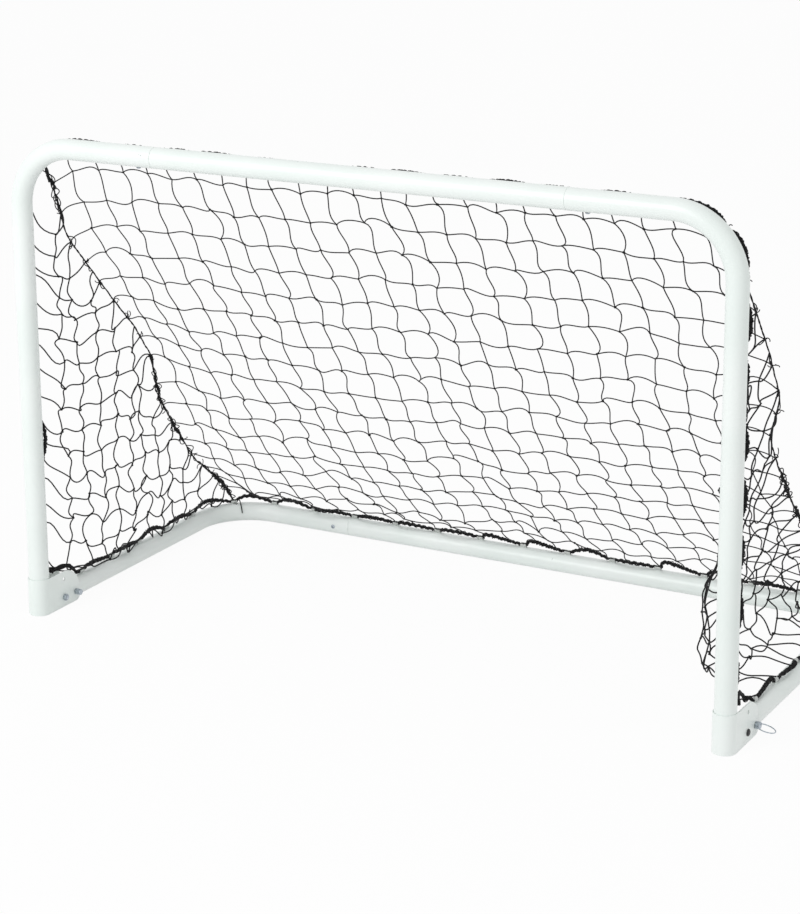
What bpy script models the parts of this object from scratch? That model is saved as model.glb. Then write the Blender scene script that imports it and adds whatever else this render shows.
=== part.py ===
"""Folding soccer goal.

A front frame of bent steel tube stands upright. A U-shaped base frame is hinged in two
sheet-steel foot brackets behind the posts and folds up against them. A lock pin with a pull
ring holds each side. A knotted net in three panels is laced to plastic clips on the tubes.

Units are metres, +Z is up and the goal opens towards -Y. The origin is on the ground, at the
middle of the goal's footprint.
"""

import math

import bmesh
import bpy
from mathutils import Matrix, Vector

# Frame tube and the main reaches of the goal, all measured to tube centre lines
TUBE_D = 0.038
TUBE_WALL = 0.0015
GOAL_WIDTH = 1.380
CROSSBAR_HEIGHT = 0.895
BASE_DEPTH = 0.665
TOP_BEND_R = 0.110
REAR_BEND_R = 0.110
BEND_STEPS = 6
TUBE_SIDES = 16

# Joints between the bent corners and the straight bars
CROSSBAR_SEAM_X = 0.398
REAR_SEAM_X = 0.392
NECK_LENGTH = 0.055
SCREW_FROM_SEAM = 0.034
SCREW_SHANK_D = 0.0042
SCREW_LENGTH = 0.009
SCREW_HEAD_D = 0.0086
SCREW_HEAD_H = 0.0026
SCREW_HOLE_DEPTH = 0.012

# Play between pieces that fit into or sit on each other
GAP = 0.0003
TUBE_FIT = 0.0005
SHAFT_PLAY = 0.0003
CUT_MARGIN = 0.006

# Foot bracket: a band round the post and two cheeks behind it
BRACKET_SHEET = 0.002
CHEEK_NOSE_R = 0.051
CHEEK_CORNER_R = 0.014
PIVOT_BACK = 0.049
LOCK_REACH = 0.036

# Foot plug in the post
FOOT_FLANGE_H = 0.003
FOOT_PLUG_DEPTH = 0.016
FOOT_PLUG_WALL = 0.0025

# Pivot bolt, nut and cap
BOLT_D = 0.008
BOLT_HEAD_D = 0.0098
BOLT_HEAD_H = 0.002
BOLT_END_OUT = 0.0012
BOLT_CHAMFER = 0.0008
NUT_FLATS = 0.0115
NUT_H = 0.0058
CAP_D = 0.0126
CAP_H = 0.0036
BUSH_BEHIND_PIVOT = 0.016

# Lock pin, its socket and its pull ring
PIN_D = 0.0065
PIN_HEAD_D = 0.0128
PIN_HEAD_H = 0.0085
PIN_HEAD_BEVEL = 0.0009
SOCKET_D = 0.0115
SOCKET_H = 0.012
SOCKET_FLOOR = 0.0025
PIN_IN_SOCKET = 0.0075
RING_WIRE_D = 0.002
RING_EYE_FROM_END = 0.0032
RING_LENGTH = 0.030
RING_WIDTH = 0.025
RING_STRAIGHT = 0.0168
RING_DROOP_DEG = 13.0
RING_STEPS = 16

# Lacing cord and the clips that hold it
CORD_D = 0.005
CLIP_WALL = 0.0012
CLIP_PLAY = 0.0007
CLIP_LENGTH = 0.012
CLIP_MOUTH_DEG = 60.0
CLIP_STEPS = 5
CLIP_FOOT_WIDTH = 0.005
CLIP_SUNK = 0.0008
CORD_PAST_CLIP = 0.001
CORD_WAVE = 0.008
POST_CLIP_FIRST_Z = 0.087
POST_CLIP_PITCH = 0.0975
POST_CLIPS = 8
CROSSBAR_CLIP_PITCH = 0.093
CROSSBAR_CLIPS = 12
BASE_CLIP_FIRST_Y = 0.133
BASE_CLIP_PITCH = 0.0975
BASE_CLIPS = 5
REAR_CLIP_PITCH = 0.096
REAR_CLIPS = 13
CROSSBAR_CLIP_TILT_DEG = 24.0
CORD_START_Z = 0.076
CORD_START_Y = 0.108

# Net panels
TWINE = 0.0024
BACK_COLUMNS = 15
SEAM_MESHES = 11
SEAM_SAG = 0.056  # how far the seam hangs below a straight line, square to it
SEAM_INWARD = 0.030  # how far the weight of the back panel draws each seam inwards
CORNER_PULL = 1.8

# Sizes that follow from those above
TUBE_R = TUBE_D / 2
BORE_R = TUBE_R - TUBE_WALL
HALF_WIDTH = GOAL_WIDTH / 2
BAND_INNER_R = TUBE_R + GAP
BAND_OUTER_R = BAND_INNER_R + BRACKET_SHEET
FACET_TURN = math.pi / TUBE_SIDES
NOSE_R = TUBE_R - GAP
BRACKET_HEIGHT = TUBE_R + CHEEK_NOSE_R
CHEEK_OUT = HALF_WIDTH + BAND_OUTER_R
CHEEK_IN = HALF_WIDTH - BAND_OUTER_R
POST_Y = (BAND_OUTER_R - BASE_DEPTH - TUBE_R) / 2
CORD_R = CORD_D / 2
CLIP_INNER_R = CORD_R + CLIP_PLAY
CLIP_OUTER_R = CLIP_INNER_R + CLIP_WALL
CORD_RISE = GAP + CLIP_OUTER_R
CORD_CREST = CORD_RISE + CORD_WAVE
NET_OFF = CORD_R + TWINE * 0.62 + GAP
PIN_HOLE_R = PIN_D / 2 + SHAFT_PLAY
BOLT_HOLE_R = BOLT_D / 2 + SHAFT_PLAY
SIDES = {"left": -1.0, "right": 1.0}


def fresh_scene():
    """Remove what the scene holds and make the two collections."""
    for old in list(bpy.data.objects):
        bpy.data.objects.remove(old, do_unlink=True)
    made = {}
    for name in ("folding_soccer_goal", "cutters"):
        made[name] = bpy.data.collections.new(name)
        bpy.context.scene.collection.children.link(made[name])
    return made["folding_soccer_goal"], made["cutters"]


def material(name, colour, roughness, metallic=0.0):
    """A Principled material of one colour."""
    made = bpy.data.materials.new(name)
    made.use_nodes = True
    shader = made.node_tree.nodes["Principled BSDF"]
    shader.inputs["Base Color"].default_value = (*colour, 1.0)
    shader.inputs["Roughness"].default_value = roughness
    shader.inputs["Metallic"].default_value = metallic
    return made


PARTS, CUTTERS = fresh_scene()
WHITE_PAINT = material("white_powder_coat", (0.86, 0.88, 0.87), 0.38)
ZINC = material("zinc_plate", (0.62, 0.65, 0.68), 0.3, 1.0)
BLACK_PLASTIC = material("black_plastic", (0.015, 0.015, 0.016), 0.45)
NYLON = material("white_nylon", (0.8, 0.8, 0.78), 0.5)
CORD = material("black_cord", (0.012, 0.012, 0.013), 0.8)
NET_TWINE = material("black_net_twine", (0.02, 0.02, 0.021), 0.85)


def add_object(name, data, finish=None, place=None, collection=None):
    """Link a mesh or curve as an object, with its material and place."""
    made = bpy.data.objects.new(name, data)
    (collection or PARTS).objects.link(made)
    if finish is not None:
        data.materials.append(finish)
    if place is not None:
        made.matrix_world = place
    return made


def frame_at(location, axis, side=None):
    """A placing matrix whose local Z points along axis, with local X along side if given."""
    z = Vector(axis).normalized()
    if side is None:
        turn = z.to_track_quat("Z", "Y").to_matrix()
    else:
        x = Vector(side).normalized()
        turn = Matrix((x, z.cross(x), z)).transposed()
    return Matrix.Translation(location) @ turn.to_4x4()


def arc(centre, radius, start_deg, end_deg, steps):
    """Points of a flat arc, with both of its ends."""
    turns = [math.radians(start_deg + (end_deg - start_deg) * i / steps) for i in range(steps + 1)]
    return [(centre[0] + radius * math.cos(t), centre[1] + radius * math.sin(t)) for t in turns]


def evaluated_mesh(obj, name):
    """The object's mesh with its modifiers applied, its caps welded, in its own frame."""
    bpy.context.view_layer.update()
    graph = bpy.context.evaluated_depsgraph_get()
    mesh = bpy.data.meshes.new_from_object(obj.evaluated_get(graph))
    mesh.name = name
    work = bmesh.new()
    work.from_mesh(mesh)
    bmesh.ops.remove_doubles(work, verts=work.verts, dist=0.000005)
    bmesh.ops.recalc_face_normals(work, faces=work.faces)
    work.to_mesh(mesh)
    work.free()
    return mesh


def corner_r(flat_r):
    """Radius to the corners of a tube section whose flats are flat_r from its middle."""
    return flat_r / math.cos(FACET_TURN)


def path_curve(points, radius, sides, capped, closed=False, turn=0.0):
    """A curve object with a round section, turned about the path, between the points."""
    data = bpy.data.curves.new("path", "CURVE")
    data.dimensions = "3D"
    data.bevel_depth = radius
    data.bevel_resolution = (sides - 4) // 2
    data.use_fill_caps = capped
    spline = data.splines.new("POLY")
    spline.points.add(len(points) - 1)
    for spot, point in zip(spline.points, points, strict=True):
        spot.co = (*point, 1.0)
        spot.tilt = turn
    spline.use_cyclic_u = closed
    return add_object("path", data)


def mesh_from_curve(name, curve, finish):
    """Turn a curve object into a mesh object of the given name."""
    place = curve.matrix_world.copy()
    mesh = evaluated_mesh(curve, name)
    bpy.data.objects.remove(curve, do_unlink=True)
    mesh.materials.clear()
    return add_object(name, mesh, finish, place)


def rod(name, points, radius, sides, finish, closed=False):
    """A solid cord or wire along the points."""
    return mesh_from_curve(name, path_curve(points, radius, sides, not closed, closed), finish)


def pipe(name, points, finish):
    """A length of frame tube along the points, open at both ends, with flats along X, Y and Z."""
    path = path_curve(points, corner_r(TUBE_R), TUBE_SIDES, False, turn=FACET_TURN)
    made = mesh_from_curve(name, path, finish)
    wall = made.modifiers.new("wall", "SOLIDIFY")
    wall.thickness = TUBE_WALL
    wall.offset = -1.0
    wall.use_even_offset = True
    smooth(made)
    return made


def turned(name, profile, steps, finish, place, closed=False, collection=None):
    """A turned piece: (radius, height) points run down its outer side, about local Z."""
    mesh = bpy.data.meshes.new(name)
    edges = [(i, i + 1) for i in range(len(profile) - 1)]
    if closed:
        edges.append((len(profile) - 1, 0))
    mesh.from_pydata([(r, 0.0, h) for r, h in profile], edges, [])
    made = add_object(name, mesh, finish, place, collection)
    spin = made.modifiers.new("turn", "SCREW")
    spin.steps = steps
    spin.render_steps = steps
    spin.use_merge_vertices = True
    spin.merge_threshold = 0.00001
    spin.use_smooth_shade = False
    return made


def turned_to_fit(name, profile, finish, place, closed=False):
    """A turned piece whose flats lie along those of the frame tube."""
    corners = [(corner_r(r), h) for r, h in profile]
    place = place @ Matrix.Rotation(FACET_TURN, 4, "Z")
    return turned(name, corners, TUBE_SIDES, finish, place, closed)


def prism(name, outline, thickness, finish, place, collection=None):
    """A flat outline made thick, half to each side of its plane."""
    data = bpy.data.curves.new(name, "CURVE")
    data.dimensions = "2D"
    data.fill_mode = "BOTH"
    data.extrude = thickness / 2
    spline = data.splines.new("POLY")
    spline.points.add(len(outline) - 1)
    for spot, (u, v) in zip(spline.points, outline, strict=True):
        spot.co = (u, v, 0.0, 1.0)
    spline.use_cyclic_u = True
    made = mesh_from_curve(name, add_object("outline", data), finish)
    made.matrix_world = place
    if collection is not None:
        PARTS.objects.unlink(made)
        collection.objects.link(made)
    return made


def as_cutter(obj):
    """Mark an object as a cutter."""
    obj.hide_render = True
    obj.display_type = "WIRE"
    return obj


def drill(name, centre, axis, radius, length, steps=12):
    """A cylindrical cutter about a point."""
    work = bmesh.new()
    bmesh.ops.create_cone(
        work, cap_ends=True, segments=steps, radius1=radius, radius2=radius, depth=length
    )
    mesh = bpy.data.meshes.new(name)
    work.to_mesh(mesh)
    work.free()
    return as_cutter(add_object(name, mesh, None, frame_at(centre, axis), CUTTERS))


def side_cutter(name, outline, centre, width):
    """A cutter whose outline lies in the Y-Z plane about a point, cut along X."""
    place = frame_at(centre, (1, 0, 0), (0, 1, 0))
    return as_cutter(prism(name, outline, width, None, place, CUTTERS))


def cut(obj, cutter, operation="DIFFERENCE"):
    """Cut an object with a cutter, or keep what they share."""
    step = obj.modifiers.new("cut", "BOOLEAN")
    step.operation = operation
    step.object = cutter
    step.solver = "EXACT"


def smooth(obj):
    """Shade a round piece smooth, with its edges sharp."""
    obj.data.shade_smooth()
    obj.data.set_sharp_from_angle(angle=math.radians(40))


class Hoop:
    """The centre line of one frame: up a side, round a bend, across, and down the other side.

    run is the side's straight length and across the half width. A place on it is the distance
    from the left foot, and it is given across the goal and along the sides.
    """

    def __init__(self, reach, half_width, bend_r):
        self.run = reach - bend_r
        self.half_width = half_width
        self.bend_r = bend_r
        self.bend_length = bend_r * math.pi / 2
        self.flat = half_width - bend_r
        self.half_length = self.run + self.bend_length + self.flat

    def left_bend_middle(self):
        """Distance from the left foot to the middle of the left bend."""
        return self.run + self.bend_length / 2

    def at_across(self, x):
        """Distance from the left foot to a place on the straight cross piece."""
        return self.half_length + x

    def place(self, s):
        """(across, along) of a place, and the direction that points away from the opening."""
        mirror = 1.0
        if s > self.half_length:
            s = 2 * self.half_length - s
            mirror = -1.0
        if s <= self.run:
            return (-self.half_width * mirror, s), (-mirror, 0.0)
        if s >= self.run + self.bend_length:
            across = s - self.half_length
            return (across * mirror, self.run + self.bend_r), (0.0, 1.0)
        turn = (s - self.run) / self.bend_r
        across = -self.half_width + self.bend_r * (1 - math.cos(turn))
        along = self.run + self.bend_r * math.sin(turn)
        return (across * mirror, along), (-math.cos(turn) * mirror, math.sin(turn))

    def stops(self, start, end):
        """Places of a tube from start to end on the left half: its ends and its bend."""
        bend = [self.run + self.bend_length * i / BEND_STEPS for i in range(BEND_STEPS + 1)]
        return [start, *[s for s in bend if start < s < end], end]


FRONT = Hoop(CROSSBAR_HEIGHT, HALF_WIDTH, TOP_BEND_R)
BASE = Hoop(BASE_DEPTH, HALF_WIDTH, REAR_BEND_R)


def share_of_crossbar(s):
    """0 on a post, 1 on the crossbar, and a smooth step between them round the bend."""
    from_foot = min(s, 2 * FRONT.half_length - s)
    t = min(max((from_foot - FRONT.run) / FRONT.bend_length, 0.0), 1.0)
    return t * t * (3 - 2 * t)


def front_point(s, rise=None, hang=0.0):
    """A point of the front frame: on its centre line, or at a rise over the tube's back.

    The lacing lies behind the posts and turns a little upwards behind the crossbar. hang
    moves a point on, rearwards at the posts and downwards at the crossbar.
    """
    (x, z), (out_x, out_z) = FRONT.place(s)
    centre = Vector((x, POST_Y, z))
    if rise is None:
        return centre
    share = share_of_crossbar(s)
    tilt = math.radians(CROSSBAR_CLIP_TILT_DEG) * share
    outward = Vector((out_x, 0.0, out_z))
    rear = Vector((0.0, 1.0, 0.0))
    drop = math.pi / 2 * share
    back = math.cos(tilt) * rear + math.sin(tilt) * outward
    return centre + (TUBE_R + rise) * back + hang * (math.cos(drop) * rear - math.sin(drop) * outward)


def base_point(s, rise=None, hang=0.0):
    """A point of the base frame: on its centre line, or at a rise over the tube's top."""
    (x, y), _ = BASE.place(s)
    height = TUBE_R if rise is None else TUBE_D + rise + hang
    return Vector((x, POST_Y + y, height))


def mirrored(point, sign):
    """The same place on the left (-1) or right (+1) half."""
    return Vector((-sign * point.x, point.y, point.z))


PIVOT_Y = POST_Y + PIVOT_BACK
LOCK_Y = PIVOT_Y + LOCK_REACH


def build_posts():
    """Post and top corner in one bent tube, up to the crossbar's seam."""
    end = FRONT.at_across(-CROSSBAR_SEAM_X - GAP / 2)
    for side, sign in SIDES.items():
        points = [mirrored(front_point(s), sign) for s in FRONT.stops(FOOT_FLANGE_H + GAP, end)]
        post = pipe(f"{side}_post", points, WHITE_PAINT)
        hole_x = sign * (CROSSBAR_SEAM_X + SCREW_FROM_SEAM)
        centre = (hole_x, POST_Y, CROSSBAR_HEIGHT - TUBE_R)
        hole_name = f"{side}_post_screw_hole"
        cut(post, drill(hole_name, centre, (0, 0, 1), screw_hole_r(), SCREW_HOLE_DEPTH, 8))


def screw_hole_r():
    """Radius of the hole that a joint screw passes."""
    return SCREW_SHANK_D / 2 + SHAFT_PLAY


def straight_bar(name, seam_x, place_y, place_z, screw_axis):
    """A straight tube with reduced necks that push into the corner stubs."""
    neck_r = BORE_R - TUBE_FIT
    bore_in_neck = neck_r - TUBE_WALL
    seam = seam_x - GAP / 2
    tip = seam_x + NECK_LENGTH
    upper = [(neck_r, tip), (neck_r, seam), (TUBE_R, seam)]
    lower = [(r, -h) for r, h in reversed(upper)]
    inner = [(bore_in_neck, -tip), (bore_in_neck, -seam + TUBE_WALL), (BORE_R, -seam + TUBE_WALL)]
    inner += [(r, -h) for r, h in reversed(inner)]
    place = frame_at((0, place_y, place_z), (1, 0, 0), (0, 1, 0))
    bar = turned_to_fit(name, [*upper, *lower, *inner], WHITE_PAINT, place, closed=True)
    for sign in SIDES.values():
        spot = Vector((sign * (seam_x + SCREW_FROM_SEAM), place_y, place_z))
        spot += Vector(screw_axis) * TUBE_R
        cut(bar, drill(f"{name}_screw_hole", spot, screw_axis, screw_hole_r(), SCREW_HOLE_DEPTH, 8))
    return bar


def joint_screws(name, seam_x, place_y, place_z, screw_axis):
    """The screws that hold a straight bar in its corner stubs, one at each end."""
    head_r = SCREW_HEAD_D / 2
    shank_r = SCREW_SHANK_D / 2
    dome = [(head_r * 0.62, SCREW_HEAD_H), (head_r * 0.93, SCREW_HEAD_H * 0.62)]
    profile = [(0.0, SCREW_HEAD_H), *dome, (head_r, 0.0), (shank_r, 0.0)]
    profile += [(shank_r, -SCREW_LENGTH + shank_r), (0.0, -SCREW_LENGTH)]
    for side, sign in SIDES.items():
        seat = Vector((sign * (seam_x + SCREW_FROM_SEAM), place_y, place_z))
        seat += Vector(screw_axis) * (TUBE_R + GAP)
        turned(f"{side}_{name}", profile, 8, ZINC, frame_at(seat, screw_axis))


def build_foot_plugs():
    """A cup-shaped plug in each post foot, whose flange stands on the ground."""
    plug_r = BORE_R - TUBE_FIT
    top = FOOT_FLANGE_H + FOOT_PLUG_DEPTH
    inner_r = plug_r - FOOT_PLUG_WALL
    profile = [(0.0, FOOT_FLANGE_H), (inner_r, FOOT_FLANGE_H), (inner_r, top), (plug_r, top)]
    profile += [(plug_r, FOOT_FLANGE_H), (TUBE_R, FOOT_FLANGE_H), (TUBE_R, 0.0), (0.0, 0.0)]
    for side, sign in SIDES.items():
        place = frame_at((sign * HALF_WIDTH, POST_Y, 0.0), (0, 0, 1), (1, 0, 0))
        turned_to_fit(f"{side}_foot_plug", profile, NYLON, place)


def cheek_outline():
    """The bracket's side outline about the pivot: flat foot, round nose, level top."""
    front = -PIVOT_BACK - BAND_OUTER_R - CUT_MARGIN
    floor = -TUBE_R
    corner_z = floor + CHEEK_CORNER_R
    reach = CHEEK_NOSE_R - CHEEK_CORNER_R
    corner_y = math.sqrt(reach**2 - corner_z**2)
    meet_deg = math.degrees(math.atan2(corner_z, corner_y))
    outline = [(front, floor)]
    outline += arc((corner_y, corner_z), CHEEK_CORNER_R, -90.0, meet_deg, 5)
    outline += arc((0.0, 0.0), CHEEK_NOSE_R, meet_deg, 90.0, 12)[1:]
    outline.append((front, CHEEK_NOSE_R))
    return outline


def build_brackets():
    """Sheet folded round the post into two cheeks, with the pivot, lock and storage holes."""
    rear = PIVOT_BACK + CHEEK_NOSE_R + CUT_MARGIN
    first_deg = -math.degrees(FACET_TURN)
    steps = TUBE_SIDES // 2 - 1
    plan = [(BAND_OUTER_R, rear)]
    plan += arc((0.0, 0.0), corner_r(BAND_OUTER_R), first_deg, -180.0 - first_deg, steps)
    plan += [(-BAND_OUTER_R, rear), (-BAND_INNER_R, rear)]
    plan += arc((0.0, 0.0), corner_r(BAND_INNER_R), -180.0 - first_deg, first_deg, steps)
    plan.append((BAND_INNER_R, rear))
    height = BRACKET_HEIGHT + 2 * CUT_MARGIN
    width = 2 * (BAND_OUTER_R + CUT_MARGIN)
    for side, sign in SIDES.items():
        x = sign * HALF_WIDTH
        place = Matrix.Translation((x, POST_Y, BRACKET_HEIGHT / 2))
        bracket = prism(f"{side}_foot_bracket", plan, height, WHITE_PAINT, place)
        pivot = (x, PIVOT_Y, TUBE_R)
        cut(bracket, side_cutter(f"{side}_cheek_outline", cheek_outline(), pivot, width), "INTERSECT")
        cut(bracket, drill(f"{side}_pivot_hole", pivot, (1, 0, 0), BOLT_HOLE_R, width))
        lock = (x, LOCK_Y, TUBE_R)
        cut(bracket, drill(f"{side}_lock_hole", lock, (1, 0, 0), PIN_HOLE_R, width))
        store = (x, PIVOT_Y, TUBE_R + LOCK_REACH)
        cut(bracket, drill(f"{side}_storage_hole", store, (1, 0, 0), PIN_HOLE_R, width))
        smooth(bracket)


def build_pivots():
    """Pivot bolt through both cheeks, its nut inside the goal and a black cap outside."""
    bolt_r = BOLT_D / 2
    seat = CHEEK_OUT + GAP
    nut_top = CHEEK_IN - GAP
    shank = seat - (nut_top - NUT_H - BOLT_END_OUT)
    bolt = [(0.0, BOLT_HEAD_H), (BOLT_HEAD_D / 2, BOLT_HEAD_H), (BOLT_HEAD_D / 2, 0.0)]
    bolt += [(bolt_r, 0.0), (bolt_r, -shank + BOLT_CHAMFER), (bolt_r - BOLT_CHAMFER, -shank)]
    bolt.append((0.0, -shank))
    pocket_r = BOLT_HEAD_D / 2 + GAP
    pocket_h = BOLT_HEAD_H + GAP
    cap = [(0.0, CAP_H), (CAP_D * 0.34, CAP_H), (CAP_D * 0.46, CAP_H * 0.72), (CAP_D / 2, 0.0)]
    cap += [(pocket_r, 0.0), (pocket_r, pocket_h), (0.0, pocket_h)]
    nut_r = NUT_FLATS / 2 / math.cos(math.pi / 6)
    nut = [(0.0, NUT_H), (nut_r, NUT_H), (nut_r, 0.0), (0.0, 0.0)]
    for side, sign in SIDES.items():
        out = (sign, 0, 0)
        outer = frame_at((sign * seat, PIVOT_Y, TUBE_R), out)
        turned(f"{side}_pivot_bolt", bolt, 12, ZINC, outer)
        turned(f"{side}_pivot_cap", cap, 16, BLACK_PLASTIC, outer)
        inner = frame_at((sign * (nut_top - NUT_H), PIVOT_Y, TUBE_R), out)
        made = turned(f"{side}_pivot_nut", nut, 6, ZINC, inner)
        cut(made, drill(f"{side}_nut_bore", inner.translation, out, BOLT_HOLE_R, NUT_H * 3))


def build_lock_pins():
    """Lock pins with cross-drilled heads outside, and the sockets for their tips inside."""
    pin_r = PIN_D / 2
    head_r = PIN_HEAD_D / 2
    seat = CHEEK_OUT + GAP
    socket_top = CHEEK_IN - GAP
    shank = seat - socket_top + PIN_IN_SOCKET
    edge = PIN_HEAD_BEVEL
    pin = [(0.0, PIN_HEAD_H), (head_r - edge, PIN_HEAD_H), (head_r, PIN_HEAD_H - edge)]
    pin += [(head_r, edge), (head_r - edge, 0.0), (pin_r, 0.0), (pin_r, -shank + pin_r / 2)]
    pin += [(pin_r * 0.6, -shank), (0.0, -shank)]
    socket_r = SOCKET_D / 2
    socket = [(0.0, SOCKET_FLOOR), (PIN_HOLE_R, SOCKET_FLOOR), (PIN_HOLE_R, SOCKET_H)]
    socket += [(socket_r - edge, SOCKET_H), (socket_r, SOCKET_H - edge), (socket_r, edge)]
    socket += [(socket_r - edge, 0.0), (0.0, 0.0)]
    for side, sign in SIDES.items():
        out = (sign, 0, 0)
        made = turned(f"{side}_lock_pin", pin, 12, ZINC, frame_at((sign * seat, LOCK_Y, TUBE_R), out))
        eye = ring_eye(sign)
        eye_r = RING_WIRE_D / 2 + SHAFT_PLAY
        cut(made, drill(f"{side}_ring_eye", eye, (0, 1, 0), eye_r, PIN_HEAD_D * 2, 8))
        place = frame_at((sign * (socket_top - SOCKET_H), LOCK_Y, TUBE_R), out)
        turned(f"{side}_pin_socket", socket, 12, ZINC, place)
        rod(f"{side}_pull_ring", ring_points(sign), RING_WIRE_D / 2, 6, ZINC, closed=True)


def ring_eye(sign):
    """Middle of the cross hole that a pull ring swings in."""
    return Vector((sign * (CHEEK_OUT + GAP + PIN_HEAD_H - RING_EYE_FROM_END), LOCK_Y, TUBE_R))


def ring_points(sign):
    """The pull ring: straight through its eye, and an elliptical loop outside the head.

    The loop is the part of an ellipse beyond a chord, where the chord is the straight side.
    """
    half_width = RING_WIDTH / 2
    half_straight = RING_STRAIGHT / 2
    share = math.sqrt(1 - (half_straight / half_width) ** 2)
    half_long = RING_LENGTH / (1 + share)
    middle = share * half_long
    open_angle = math.pi - math.asin(half_straight / half_width)
    inner = half_straight - RING_WIRE_D
    flat = [(0.0, -inner), (0.0, inner)]
    for i in range(1, RING_STEPS):
        t = open_angle * (1 - 2 * i / RING_STEPS)
        flat.append((middle + half_long * math.cos(t), half_width * math.sin(t)))
    droop = math.radians(RING_DROOP_DEG)
    outward = Vector((sign * math.cos(droop), 0.0, -math.sin(droop)))
    return [ring_eye(sign) + u * outward + v * Vector((0, 1, 0)) for u, v in flat]


def nose_outline():
    """What is cut off a base tube's end, so that it turns within the tube's height."""
    far = TUBE_R + 2 * CUT_MARGIN
    outline = [(0.0, -far), (-far, -far), (-far, far), (0.0, far)]
    return outline + arc((0.0, 0.0), NOSE_R, 90.0, 270.0, 10)


def notch_outline():
    """The way of the lock pin through the turning tube: a slot on an arc about the pivot.

    The pin rests in the slot's round end. The slot opens at the tube's underside, so the tube
    lifts off the pin as it folds up.
    """
    leave_deg = -math.degrees(math.asin(min((TUBE_R + 2 * PIN_D) / LOCK_REACH, 1.0)))
    outline = arc((0.0, 0.0), LOCK_REACH - PIN_HOLE_R, leave_deg, 0.0, 6)
    outline += arc((LOCK_REACH, 0.0), PIN_HOLE_R, 180.0, 0.0, 6)[1:-1]
    outline += arc((0.0, 0.0), LOCK_REACH + PIN_HOLE_R, 0.0, leave_deg, 6)
    return outline


def build_base_tubes():
    """Side tube and rear corner in one bent tube, with the bush of its pivot."""
    width = TUBE_D + CUT_MARGIN
    end = BASE.at_across(-REAR_SEAM_X - GAP / 2)
    stops = BASE.stops(PIVOT_BACK - TUBE_R - CUT_MARGIN, end)
    for side, sign in SIDES.items():
        pivot = (sign * HALF_WIDTH, PIVOT_Y, TUBE_R)
        points = [mirrored(base_point(s), sign) for s in stops]
        tube = pipe(f"{side}_base_tube", points, WHITE_PAINT)
        nose = side_cutter(f"{side}_tube_nose", nose_outline(), pivot, width)
        bolt_way = drill(f"{side}_tube_bolt_way", pivot, (1, 0, 0), BOLT_HOLE_R, width)
        notch = side_cutter(f"{side}_lock_notch", notch_outline(), pivot, width)
        screw_x = sign * (REAR_SEAM_X + SCREW_FROM_SEAM)
        screw_at = (screw_x, POST_Y + BASE_DEPTH - TUBE_R, TUBE_R)
        for cutter in (nose, bolt_way, notch):
            cut(tube, cutter)
        hole_name = f"{side}_base_screw_hole"
        cut(tube, drill(hole_name, screw_at, (0, 1, 0), screw_hole_r(), SCREW_HOLE_DEPTH, 8))
        plug_r = BORE_R - TUBE_FIT
        length = TUBE_R + BUSH_BEHIND_PIVOT
        bush = [(0.0, length), (plug_r, length), (plug_r, 0.0), (0.0, 0.0)]
        place = frame_at((pivot[0], PIVOT_Y - TUBE_R, TUBE_R), (0, 1, 0), (1, 0, 0))
        made = turned_to_fit(f"{side}_pivot_bush", bush, NYLON, place)
        cut(made, nose)
        cut(made, bolt_way)


def clip_outline():
    """A net clip seen along the tube: a C-shaped hook on a foot that is let into the tube."""
    first = 90.0 + CLIP_MOUTH_DEG
    foot_deg = math.degrees(math.asin(CLIP_FOOT_WIDTH / 2 / CLIP_OUTER_R))
    centre = (0.0, CORD_RISE)
    outline = arc(centre, CLIP_OUTER_R, first, 270.0 - foot_deg, 2)
    outline += [(-CLIP_FOOT_WIDTH / 2, -CLIP_SUNK), (CLIP_FOOT_WIDTH / 2, -CLIP_SUNK)]
    outline += arc(centre, CLIP_OUTER_R, 270.0 + foot_deg, 450.0, 3)
    outline += arc(centre, CLIP_INNER_R, 450.0, first, CLIP_STEPS)
    return outline


def clip_place(point_of, s):
    """Place of a clip on a hoop: local Y away from the tube, local Z along it."""
    foot = point_of(s, 0.0)
    away = (point_of(s, CORD_RISE) - foot).normalized()
    near = CLIP_LENGTH / 2
    along = (point_of(s + near, CORD_RISE) - point_of(s - near, CORD_RISE)).normalized()
    return frame_at(foot, along, away.cross(along))


def add_clips(tube, point_of, stops):
    """Fix clips to a tube at places along its hoop, as one body with the tube."""
    work = bmesh.new()
    for s in stops:
        piece = prism("clip", clip_outline(), CLIP_LENGTH, None, clip_place(point_of, s))
        piece.data.transform(piece.matrix_world)
        work.from_mesh(piece.data)
        bpy.data.objects.remove(piece, do_unlink=True)
    mesh = bpy.data.meshes.new("clips")
    work.to_mesh(mesh)
    work.free()
    clips = as_cutter(add_object(f"{tube.name}_clips", mesh, None, None, CUTTERS))
    cut(tube, clips, "UNION")


def front_clip_places():
    """Places of the front frame's clips along its hoop, by the tube that carries them."""
    left = [POST_CLIP_FIRST_Z + POST_CLIP_PITCH * i for i in range(POST_CLIPS)]
    left.append(FRONT.left_bend_middle())
    first = -CROSSBAR_CLIP_PITCH * (CROSSBAR_CLIPS - 1) / 2
    across = [FRONT.at_across(first + CROSSBAR_CLIP_PITCH * i) for i in range(CROSSBAR_CLIPS)]
    tubes = ("left_post", "crossbar", "right_post")
    return clips_by_tube(FRONT, left, across, CROSSBAR_SEAM_X, tubes)


def base_clip_places():
    """Places of the base frame's clips along its hoop, by the tube that carries them."""
    left = [BASE_CLIP_FIRST_Y + BASE_CLIP_PITCH * i for i in range(BASE_CLIPS)]
    left.append(BASE.left_bend_middle())
    first = -REAR_CLIP_PITCH * (REAR_CLIPS - 1) / 2
    across = [BASE.at_across(first + REAR_CLIP_PITCH * i) for i in range(REAR_CLIPS)]
    tubes = ("left_base_tube", "rear_bar", "right_base_tube")
    return clips_by_tube(BASE, left, across, REAR_SEAM_X, tubes)


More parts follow.
